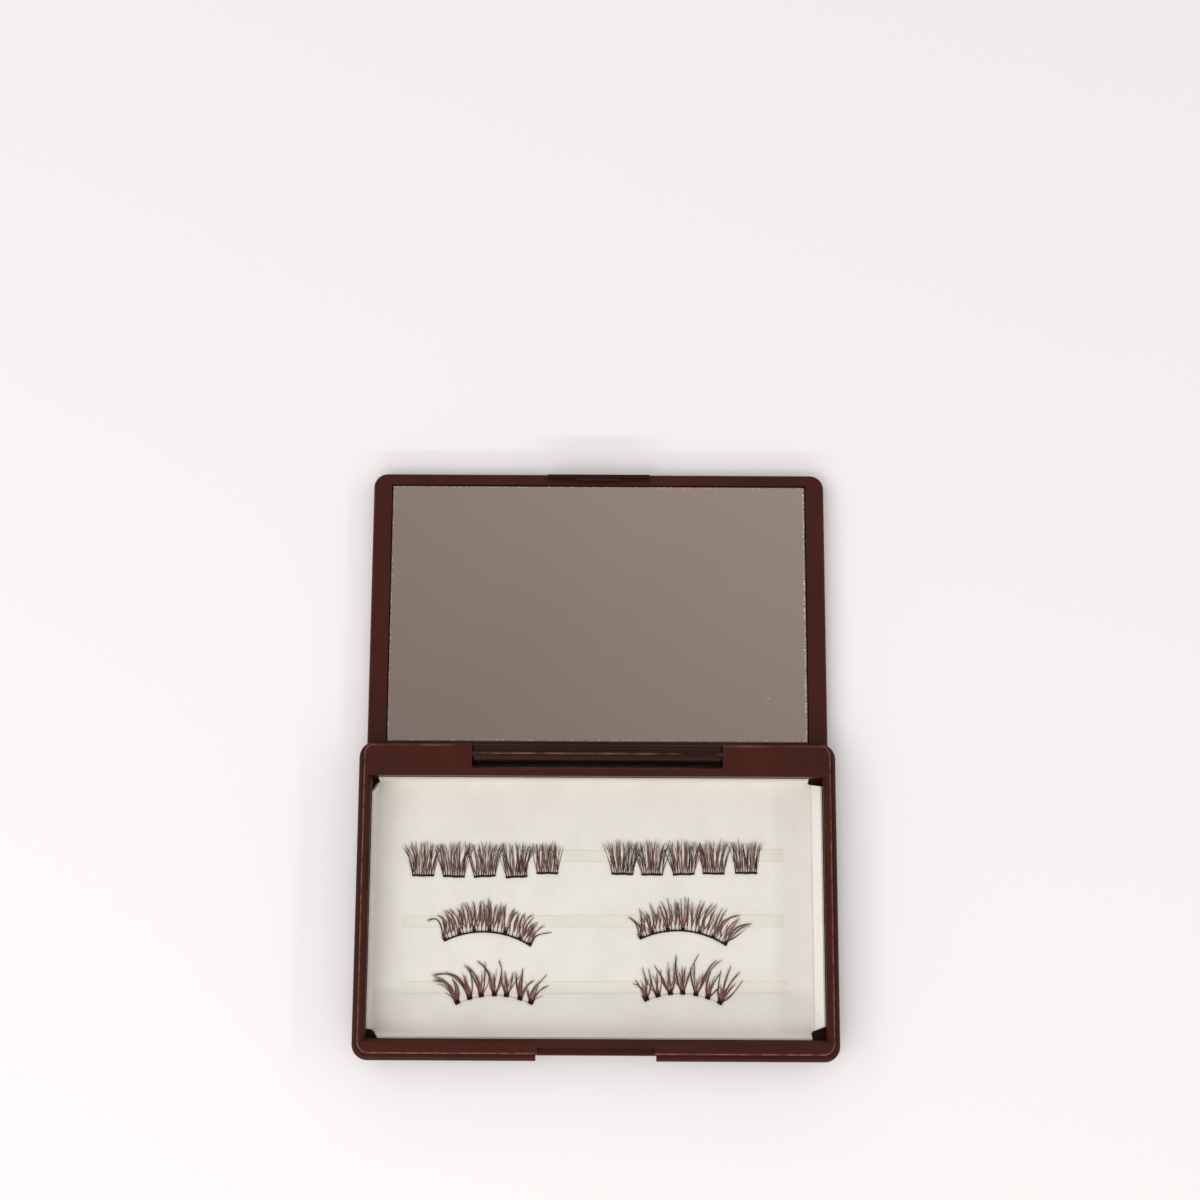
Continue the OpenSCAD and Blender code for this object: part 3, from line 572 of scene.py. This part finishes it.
class Strands:
    """Gathers tapering strands and makes them one mesh."""

    def __init__(self, name):
        self.name = name
        self.curve = bpy.data.curves.new(name, "CURVE")
        self.curve.dimensions = "3D"
        self.curve.bevel_depth = 1.0
        self.curve.bevel_resolution = 0
        self.curve.use_fill_caps = True
        self.material_index = 0
        self.indices = []

    def add(self, points, radii):
        """One strand through points, in metres, with a radius at each."""
        spline = self.curve.splines.new("POLY")
        spline.points.add(len(points) - 1)
        for made, point, radius in zip(spline.points, points, radii):
            made.co = (*point, 1)
            made.radius = radius
        self.indices.append(self.material_index)

    def mesh(self, materials):
        """The strands as one mesh, with those materials. The curve goes."""
        for material in materials:
            self.curve.materials.append(material)
        # A curve without materials takes no index
        for spline, index in zip(self.curve.splines, self.indices):
            spline.material_index = index
        holder = new_object(self.name, self.curve)
        bpy.context.view_layer.update()
        graph = bpy.context.evaluated_depsgraph_get()
        mesh = bpy.data.meshes.new_from_object(holder.evaluated_get(graph))
        bpy.data.objects.remove(holder)
        bpy.data.curves.remove(self.curve)
        mesh.polygons.foreach_set("use_smooth", [True] * len(mesh.polygons))
        return mesh


def bend(root, via, tip, share):
    """The point at that share of the way along the curve from root through via to tip."""
    control = via * 2 - (root + tip) / 2
    back = 1 - share
    return root * back * back + control * 2 * share * back + tip * share * share


def tuft(strands, draw, root, via, tip, hairs, foot, belly, splay, width):
    """Hairs that leave one foot, part a little above it and close towards one curved tip.
    root, via and tip are places on the card; foot, belly and splay are the tuft's half widths there."""
    along = (tip - root).normalized()
    across = Vector((along.y, -along.x))
    for _ in range(hairs):
        place = draw.uniform(-1, 1)
        stray = draw.gauss(0, 1)
        end = tip - along * abs(draw.gauss(0, 0.5)) * MM
        rise = draw.uniform(0.0, TIP_RISE)
        thick = width / 2 * draw.uniform(0.8, 1.15)
        path, radii = [], []
        for i in range(HAIR_STEPS + 1):
            share = i / HAIR_STEPS
            parting = min(1, share / PARTED_AT) ** 2
            aside = place * (foot + belly * parting) * (1 - share) + stray * splay * share ** 1.5
            point = bend(root, via, end, share) + across * aside
            path.append((point.x, point.y, STRIP_TOP + HAIR_LIFT + rise * share ** 2))
            radii.append(thick * (1 - 0.8 * share ** 2.6))
        strands.add(path, radii)


def finished_lash(name, node_name, strands, materials):
    """A lash in the scene, in place of its solid."""
    piece = new_object(name, strands.mesh(materials))
    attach(piece, BASE)
    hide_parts(node_name)


class Step(bpy.types.Operator):
    """Common part of the operators here"""

    bl_options = {"REGISTER", "UNDO"}


class LASHCASE_OT_case(Step):
    """Gives the moulded base and lid, the mirror and the pins their finishes"""

    bl_idname = "lashcase.case"
    bl_label = "Case and mirror"

    def execute(self, context):
        colours = context.scene.case_finish
        low, high = Vector((-WALL_X, -WALL_Y, 0)), Vector((WALL_X, WALL_Y, BASE_HIGH.z))
        ear_highlight_line = Vector((0, WALL_Y - EAR_HIGHLIGHT, BASE_HIGH.z))
        base_plastic = brown_plastic(colours, "brown_plastic_base", low, high, BASE_HIGHLIGHT, ear_highlight_line)
        dress("base_shell", base_plastic)
        # The open lid has the base's outline, turned over behind the hinge
        shift = Vector((0, 2 * HINGE.y, LID_T - BASE_HIGH.z))
        highlight_line = Vector((0, HINGE.y, LID_HIGH.z))
        lid_plastic = brown_plastic(
            colours, "brown_plastic_lid", low + shift, high + shift, LID_HIGHLIGHT, highlight_line, LID_T + KNUCKLE_FOOT
        )
        dress("lid_shell", lid_plastic)
        dress("mirror_glass", silvered_glass(colours))
        steel = drawn_steel(colours)
        dress("hinge_pin_left", steel)
        dress("hinge_pin_right", steel)
        return {"FINISHED"}


class LASHCASE_OT_tray(Step):
    """Gives the folded card and its tape their finishes"""

    bl_idname = "lashcase.tray"
    bl_label = "Card tray and tape"

    def execute(self, context):
        colours = context.scene.tray_finish
        dress("card_tray", paper_card(colours))
        tape = dotted_tape(colours)
        for place in ("rear", "middle", "front"):
            dress("adhesive_strip_" + place, tape)
        dress("mirror_pad", tape)
        return {"FINISHED"}


class LashMaker:
    """What the three kinds of lash share: their finishes and stems"""

    DARK, PALE, BAND, THREAD = range(4)
    # A stem's share of its height, its thickness there as a share, and its height above the tape in mm
    STEM = ((-0.12, 0.9, 0.1), (0.15, 1, 0.16), (0.55, 0.6, 0.16), (1, 0.2, 0.14))

    def finishes(self, form):
        return (
            lash_hair("lash_hair", form.hair, form.hair_pale),
            lash_hair("lash_hair_pale", form.hair_pale, form.hair),
            lash_band(form),
            clear_thread(form),
        )

    def add_stem(self, strands, foot, heading, thick, tall):
        """A dark stem at the foot of a tuft, thickest at the band."""
        strands.material_index = self.BAND
        way = Vector((math.sin(heading), math.cos(heading)))
        path, radii = [], []
        for share, part, height in self.STEM:
            point = foot + way * tall * share
            path.append((point.x, point.y, STRIP_TOP + height * MM))
            radii.append(thick * part)
        strands.add(path, radii)


class LASHCASE_OT_clusters(Step, LashMaker):
    """Makes the ten short clusters of the rear row"""

    bl_idname = "lashcase.clusters"
    bl_label = "Short clusters"

    # Middle of each band, its slope and how far the tips fan out past it, in mm, from the inside outwards
    PLACES = {
        "left": ((-11.9, 6.05, 0.0, 0.25), (-19.3, 5.15, 0.05, 1.5), (-26.95, 5.25, 0.05, 1.4),
                 (-34.4, 5.15, -0.03, 1.4), (-41.8, 5.35, 0.0, 1.5)),
        "right": ((6.15, 5.95, -0.02, 1.3), (13.3, 5.85, 0.0, 1.2), (20.9, 5.95, 0.03, 1.3),
                  (28.1, 6.15, -0.02, 1.4), (35.97, 6.3, 0.0, 1.0)),
    }
    TIP_Y = {"left": 13.5, "right": 14.05}
    # Half the band's length, its outermost stem's place, and its height above the tape, in mm
    HALF_BAND = 2.6
    LAST_STEM = 2.45
    BAND_RISE = 0.14
    # How far along their stem the hairs begin, in mm
    HAIR_FOOT = 0.35
    DARK_SHARE = 0.55

    def execute(self, context):
        form = context.scene.lash_form
        finishes = self.finishes(form)
        draw = random.Random(11)
        for side, places in self.PLACES.items():
            for number, place in enumerate(places, 1):
                self.make_cluster(form, finishes, draw, side, number, place)
        return {"FINISHED"}

    def make_cluster(self, form, finishes, draw, side, number, place):
        node_name = f"lash_cluster_{side}_{number}"
        x, y, slope, fan = place
        strands = Strands(node_name + "_hair")
        strands.material_index = self.BAND
        line = []
        for i in range(9):
            along = i / 4 - 1
            wave = 0.05 * math.sin(5 * along + number)
            band_y = y + along * self.HALF_BAND * slope + wave
            line.append(((x + along * self.HALF_BAND) * MM, band_y * MM, STRIP_TOP + self.BAND_RISE * MM))
        strands.add(line, [draw.uniform(0.21, 0.26) * MM for _ in line])
        stems = form.cluster_stems
        for i in range(stems):
            along = 2 * i / (stems - 1) - 1
            across = along * self.LAST_STEM + draw.gauss(0, 0.04)
            foot = Vector((x + across, y + across * slope)) * MM
            self.add_stem(strands, foot, along * fan / 8, draw.uniform(0.13, 0.17) * MM, 0.9 * MM)
            foot += Vector((along * fan / 8, 1)) * self.HAIR_FOOT * MM
            for turn in (-1, -0.33, 0.33, 1):
                lean = along * fan * 1.3 + turn * 0.9 + draw.gauss(0, 0.35)
                top = self.TIP_Y[side] + draw.gauss(0, 0.35) - 0.5 * along * along
                tip = Vector((x + across + lean, top)) * MM
                via = (foot + tip) / 2 + Vector((draw.gauss(0, 0.3) - lean * 0.14, 0)) * MM
                strands.material_index = self.DARK if draw.random() < self.DARK_SHARE else self.PALE
                tuft(
                    strands, draw, foot, via, tip, form.tuft_hairs,
                    0.05 * MM, 0.05 * MM, 0.04 * MM, form.hair_width,
                )
        finished_lash(node_name + "_hair", node_name, strands, finishes)


class LongLash(LashMaker):
    """Shared making of the lashes on a curved band; a class that follows names its own"""

    # Hairs of a tuft by its strength, and its half widths at the foot, above it and at the tip in mm
    TUFTS = {3: (8, 0.1, 0.12, 0.05), 2: (5, 0.08, 0.1, 0.05), 1: (3, 0.08, 0.08, 0.08)}
    # The loose pale hairs round every tuft, in the same way
    LOOSE = (3, 0.08, 0.25, 0.2)
    FULLNESS = 0.85
    DARK_SHARE = 0.62
    # How far above the band the hairs part, in mm
    NECK = 1.1
    # Height of the band above the tape, in mm
    BAND_RISE = 0.15
    # Thickness of a tuft's hairs, as a share of the setting
    THICKER = 1.1

    def place(self, x, y):
        """A point given in the lash's own frame, in mm, as a place on the card."""
        return self.top + self.turn @ (Vector((x, y)) * MM)

    def arc_y(self, form, x):
        """Y of the band's curve at x, in mm below its top."""
        radius = form.band_radius / MM
        return math.sqrt(radius * radius - x * x) - radius

    def start(self, name, top, degrees, seed):
        """Begins the lash whose band has its top there, in mm, and that turn."""
        self.top = Vector(top) * MM
        self.turn = Matrix.Rotation(math.radians(degrees), 2)
        self.draw = random.Random(seed)
        self.strands = Strands(name)

    def add_band(self, form, low, high, radius, material):
        """A length of the band or of the thread, from x = low to x = high in mm."""
        self.strands.material_index = material
        count = max(3, round((high - low) * 2))
        path = []
        for i in range(count + 1):
            x = low + (high - low) * i / count
            point = self.place(x, self.arc_y(form, x))
            path.append((point.x, point.y, STRIP_TOP + self.BAND_RISE * MM))
        self.strands.add(path, [radius * self.draw.uniform(0.85, 1.15) for _ in path])

    def add_stem_at(self, form, x, thick, tall, lean=0.0):
        """A stem that stands square to the band at x, or leans from there."""
        out = math.asin(x * MM / form.band_radius)
        foot = self.place(x, self.arc_y(form, x))
        turned = math.atan2(-self.turn[0][1], self.turn[0][0])
        self.add_stem(self.strands, foot, out + lean + turned, thick * MM, tall * MM)

    def neck(self, form, x):
        """Where the hairs of the stem at x part."""
        out = math.asin(x * MM / form.band_radius)
        rise = Vector((math.sin(out), math.cos(out))) * self.NECK
        return self.place(x + rise.x, self.arc_y(form, x) + rise.y)

    def add_wisp(self, form, x, reach, stray, material, hairs, splay):
        """A straight tuft of that reach in mm from the stem at x."""
        root = self.neck(form, x)
        lean = x * 0.036 + self.draw.gauss(0, stray)
        way = self.turn @ Vector((math.sin(lean), math.cos(lean))) * (reach - self.NECK) * MM
        side = Vector((way.y, -way.x)) * self.draw.gauss(0, 0.05)
        self.strands.material_index = material
        tuft(
            self.strands, self.draw, root, root + way / 2 + side, root + way, hairs,
            0.06 * MM, splay * MM, splay * MM, form.hair_width,
        )

    def add_tufts(self, form, tufts, feet):
        """A tuft for each line of the table, from the stem nearest to its root."""
        width = form.hair_width * self.THICKER
        for root_x, via_x, via_y, tip_x, tip_y, strength in tufts:
            hairs, foot, belly, splay = self.TUFTS[strength]
            hairs, belly = round(hairs * self.FULLNESS), belly * self.FULLNESS
            dark_hairs = round(hairs * self.DARK_SHARE)
            root = self.neck(form, min(feet, key=lambda x: abs(x - root_x)))
            via, tip = self.place(via_x, via_y), self.place(tip_x, tip_y)
            parts = (
                (self.PALE, hairs - dark_hairs, foot, belly, splay),
                (self.DARK, dark_hairs, foot, belly, splay),
                (self.PALE, *self.LOOSE),
            )
            for material, count, *half_widths in parts:
                self.strands.material_index = material
                sizes = [half_width * MM for half_width in half_widths]
                tuft(self.strands, self.draw, root, via, tip, count, *sizes, width)


class LASHCASE_OT_full_lashes(Step, LongLash):
    """Makes the two full lashes of the middle row"""

    bl_idname = "lashcase.full_lashes"
    bl_label = "Full lashes"

    # Place of the band's top in mm, its turn in degrees, seed, tufts, and places of the dark knots
    LASHES = {
        "left": ((-25.9, -8.0), -3.07, 23, FULL_LEFT, (-10.1, -6.7, -3.3, 0.3, 4.0, 7.5, 10.0)),
        "right": ((20.8, -7.5), -3.63, 29, FULL_RIGHT, (-9.9, -7.2, -3.6, -0.1, 3.85, 7.1, 10.1)),
    }
    # Half the band's width, in mm
    REACH = 10.3

    def execute(self, context):
        form = context.scene.lash_form
        finishes = self.finishes(form)
        for side, (top, degrees, seed, tufts, knots) in self.LASHES.items():
            self.start(f"full_lash_{side}_hair", top, degrees, seed)
            self.add_band(form, -self.REACH, self.REACH, 0.2 * MM, self.BAND)
            feet = []
            for knot, next_knot in zip(knots, knots[1:] + (None,)):
                for shift in (-0.26, 0.0, 0.26):
                    x = max(-self.REACH, min(self.REACH, knot + shift))
                    feet.append(x)
                    thick, tall = self.draw.uniform(0.17, 0.21), self.draw.uniform(1.2, 2.0)
                    self.add_stem_at(form, x, thick, tall, shift * 0.3)
                if next_knot is not None:
                    feet += self.add_fine_stems(form, knot, next_knot)
            self.add_tufts(form, tufts, feet)
            finished_lash(self.strands.name, f"full_lash_{side}", self.strands, finishes)
        return {"FINISHED"}

    def add_fine_stems(self, form, start, end):
        """Thin stems between two knots, each with three straight tufts. Gives their places on the band."""
        feet = [start + (end - start) * i / 4 for i in (1, 2, 3)]
        for x in feet:
            self.add_stem_at(form, x, 0.11, 1.9)
            reach = 7.0 - 0.022 * x * x
            self.add_wisp(form, x, reach, 0.14, self.DARK, 3, 0.05)
            self.add_wisp(form, x, reach, 0.16, self.PALE, 3, 0.06)
            self.add_wisp(form, x, reach - 0.5, 0.2, self.PALE, 3, 0.1)
        return feet


class LASHCASE_OT_spiked_lashes(Step, LongLash):
    """Makes the two spiked lashes of the front row"""

    bl_idname = "lashcase.spiked_lashes"
    bl_label = "Spiked lashes"

    FULLNESS = 1.1
    NECK = 0.4
    # As for the full lashes
    LASHES = {
        "left": ((-24.3, -22.95), 0.3, 31, SPIKED_LEFT, (-8.6, -5.7, -3.0, 0.1, 2.9, 6.1, 8.6)),
        "right": ((20.6, -22.35), -1.9, 37, SPIKED_RIGHT, (-8.5, -5.8, -2.9, 0.0, 3.1, 5.9, 8.8)),
    }

    def execute(self, context):
        form = context.scene.lash_form
        finishes = self.finishes(form)
        for side, (top, degrees, seed, tufts, knots) in self.LASHES.items():
            self.start(f"spiked_lash_{side}_hair", top, degrees, seed)
            self.add_band(form, -9.0, 9.1, 0.07 * MM, self.THREAD)
            feet = []
            for knot in knots:
                self.add_band(form, knot - 0.55, knot + 0.55, 0.19 * MM, self.BAND)
                self.add_stem_at(form, knot, 0.26, 1.3)
                for shift in (-0.3, 0.3):
                    feet.append(knot + shift)
                    thick, tall = self.draw.uniform(0.27, 0.32), self.draw.uniform(1.2, 1.7)
                    self.add_stem_at(form, knot + shift, thick, tall, shift * 0.5)
                    for height, stray in ((6.6, 0.24), (5.6, 0.3), (4.6, 0.2)):
                        reach = height - 0.02 * knot * knot
                        self.add_wisp(form, knot + shift, reach, stray, self.PALE, 4, 0.12)
            self.add_tufts(form, tufts, feet)
            finished_lash(self.strands.name, f"spiked_lash_{side}", self.strands, finishes)
        return {"FINISHED"}


class LASHCASE_OT_foil(Step):
    """Stamps a plain foil rosette on the outside of the lid"""

    bl_idname = "lashcase.foil"
    bl_label = "Foil ornament"

    THICKNESS = 0.02 * MM

    def execute(self, context):
        colours = context.scene.case_finish
        shape = bmesh.new()
        wide, tall = colours.foil_width / 2, colours.foil_height / 2
        for eighth in range(8):
            reach = tall if eighth % 4 == 0 else wide if eighth % 4 == 2 else wide * 0.72
            half_width = reach * (0.13 if eighth % 2 == 0 else 0.1)
            self.add_petal(shape, eighth * math.pi / 4, reach * 0.16, reach * 0.82, half_width)
        self.add_lozenge(shape, wide, tall)
        bmesh.ops.create_circle(shape, cap_ends=True, segments=24, radius=wide * 0.09)
        self.thicken(shape)
        place_y = (LID_LOW.y + HINGE.y * 2 - BASE_LOW.y) / 2
        bmesh.ops.translate(shape, verts=shape.verts, vec=(0, place_y, LID_LOW.z))
        mesh = mesh_from(shape, "foil_rosette")
        make_piece("foil_rosette", mesh, LID, stamped_foil(colours))
        return {"FINISHED"}

    def add_petal(self, shape, turn, start, end, half_width):
        """A slender leaf, pointed at both ends."""
        leaf = bmesh.ops.create_circle(shape, cap_ends=True, segments=28, radius=1.0)["verts"]
        half = (end - start) / 2
        for vert in leaf:
            along = vert.co.y
            vert.co.x *= half_width * (1 - 0.55 * abs(along))
            vert.co.y = start + half * (1 + along)
        bmesh.ops.rotate(shape, verts=leaf, cent=(0, 0, 0), matrix=Matrix.Rotation(turn, 3, "Z"))

    def add_lozenge(self, shape, wide, tall):
        """A thin frame with four points."""
        frame_line = bmesh.ops.create_circle(shape, cap_ends=True, segments=4, radius=1.0)["verts"]
        bmesh.ops.scale(shape, verts=frame_line, vec=(wide, tall, 1))
        face = frame_line[0].link_faces[0]
        bmesh.ops.inset_region(shape, faces=[face], thickness=0.45 * MM, use_even_offset=True)
        bmesh.ops.delete(shape, geom=[face], context="FACES_ONLY")

    def thicken(self, shape):
        """Gives the foil its thickness, outwards from the lid."""
        made = bmesh.ops.extrude_face_region(shape, geom=shape.faces[:])
        lifted = [item for item in made["geom"] if isinstance(item, bmesh.types.BMVert)]
        bmesh.ops.translate(shape, verts=lifted, vec=(0, 0, -self.THICKNESS))


class LASHCASE_OT_stage(Step):
    """Sets up the floor, the lamps and the camera"""

    bl_idname = "lashcase.stage"
    bl_label = "Studio"

    # Place and size in metres, the setting that gives the power, and the share of it
    LAMPS = {
        "key": ((-0.5, -0.3, 0.85), (0.5, 0.5), "key", 1.0),
        "fill": ((-0.2, -0.55, 0.85), (0.4, 0.4), "key", 1.0),
        "rear": ((0, 1.0, 0.42), (1.3, 0.06), "strip", 0.5),
        "front": ((0, -0.8, 0.5), (1.3, 0.06), "strip", 1.7),
        "left": ((-0.75, 0.05, 0.65), (1.3, 0.3), "strip", 1.2),
        "right": ((0.8, 0.05, 0.5), (1.3, 0.06), "strip", 1.0),
    }
    # Where the lamps point
    AIM = Vector((0, 0.03, 0))
    FLOOR_HALF = 2.5
    # The floor lies this far below the case, so that the two never share a plane
    FLOOR_DROP = 0.05 * MM
    # How far the camera stands to the right of the case's middle
    CAMERA_SIDE = 0.45 * MM

    def execute(self, context):
        studio = context.scene.studio
        self.add_floor(studio)
        self.add_sky(context, studio)
        for name, (place, size, setting, share) in self.LAMPS.items():
            self.add_lamp("lamp_" + name, place, size, getattr(studio, setting) * share)
        self.add_camera(context, studio)
        context.scene.view_settings.view_transform = "Standard"
        return {"FINISHED"}

    def add_floor(self, studio):
        """A wide pale floor, of which a share may glow by itself for the camera and in reflections."""
        shape = bmesh.new()
        bmesh.ops.create_grid(shape, x_segments=2, y_segments=2, size=self.FLOOR_HALF)
        bmesh.ops.translate(shape, verts=shape.verts, vec=(0, 0, -self.FLOOR_DROP))
        floor = new_object("floor", mesh_from(shape, "floor"))
        finish = Finish("pale_floor")
        finish.surface(base_color=studio.floor, roughness=0.9, specular_ior_level=0.0)
        glow = finish.node("ShaderNodeEmission", sockets={"Color": studio.floor, "Strength": 1.0})
        path = finish.node("ShaderNodeLightPath")
        seen = Value(finish, path.outputs["Is Camera Ray"]).maths("MAXIMUM", path.outputs["Is Glossy Ray"])
        sockets = {0: seen * (1 - studio.floor_shadow), 1: finish.shader.outputs[0], 2: glow.outputs[0]}
        mix = finish.node("ShaderNodeMixShader", sockets=sockets)
        finish.fill(finish.tree.nodes["Material Output"].inputs["Surface"], mix.outputs[0])
        floor.data.materials.append(finish.material)

    def add_sky(self, context, studio):
        """Even grey light; the camera and reflections see the floor's colour instead."""
        world = bpy.data.worlds.new("studio")
        world.use_nodes = True
        context.scene.world = world
        tree = world.node_tree
        back = tree.nodes["Background"]
        path = tree.nodes.new("ShaderNodeLightPath")
        seen = tree.nodes.new("ShaderNodeMath")
        seen.operation = "MAXIMUM"
        tree.links.new(path.outputs["Is Camera Ray"], seen.inputs[0])
        tree.links.new(path.outputs["Is Glossy Ray"], seen.inputs[1])
        shade = tree.nodes.new("ShaderNodeMix")
        shade.data_type = "RGBA"
        shade.inputs[6].default_value = (studio.sky, studio.sky, studio.sky, 1)
        shade.inputs[7].default_value = (*studio.floor, 1)
        tree.links.new(seen.outputs[0], shade.inputs[0])
        tree.links.new(shade.outputs[2], back.inputs["Color"])

    def add_lamp(self, name, place, size, power):
        """A rectangular lamp there, of that size and power."""
        lamp = bpy.data.lights.new(name, "AREA")
        lamp.shape = "RECTANGLE"
        lamp.size, lamp.size_y = size
        lamp.energy = power
        turn = (self.AIM - Vector(place)).to_track_quat("-Z", "Y").to_matrix().to_4x4()
        new_object(name, lamp).matrix_world = Matrix.Translation(place) @ turn

    def add_camera(self, context, studio):
        """The camera of the photograph."""
        camera = bpy.data.cameras.new("camera")
        camera.sensor_width = 36
        camera.lens = studio.lens
        camera.clip_start = 0.01
        holder = new_object("camera", camera)
        place = Matrix.Translation((self.CAMERA_SIDE, -studio.camera_back, studio.camera_height))
        turn = Matrix.Rotation(studio.camera_tilt, 4, "X") @ Matrix.Rotation(studio.camera_roll, 4, "Z")
        holder.matrix_world = place @ turn
        context.scene.camera = holder


class LASHCASE_PT_panel(bpy.types.Panel):
    """Lists the steps and their settings"""

    bl_idname = "LASHCASE_PT_panel"
    bl_label = "Lash Case"
    bl_space_type = "VIEW_3D"
    bl_region_type = "UI"
    bl_category = "Lash Case"

    def draw(self, context):
        for operator in OPERATORS:
            self.layout.operator(operator.bl_idname)
        for name, group in GROUPS.items():
            box = self.layout.box()
            box.label(text=group.__doc__)
            for key in group.__annotations__:
                box.prop(getattr(context.scene, name), key)


GROUPS = {"case_finish": CaseFinish, "tray_finish": TrayFinish, "lash_form": LashForm, "studio": Studio}
OPERATORS = (
    LASHCASE_OT_stage,
    LASHCASE_OT_case,
    LASHCASE_OT_tray,
    LASHCASE_OT_clusters,
    LASHCASE_OT_full_lashes,
    LASHCASE_OT_spiked_lashes,
    LASHCASE_OT_foil,
)
CLASSES = (*GROUPS.values(), *OPERATORS, LASHCASE_PT_panel)


def register():
    for made in CLASSES:
        bpy.utils.register_class(made)
    for name, group in GROUPS.items():
        setattr(bpy.types.Scene, name, PointerProperty(type=group))


def unregister():
    for name in GROUPS:
        delattr(bpy.types.Scene, name)
    for made in reversed(CLASSES):
        bpy.utils.unregister_class(made)


def main():
    register()
    for operator in OPERATORS:
        group, name = operator.bl_idname.split(".")
        getattr(getattr(bpy.ops, group), name)()


if __name__ == "__main__":
    main()
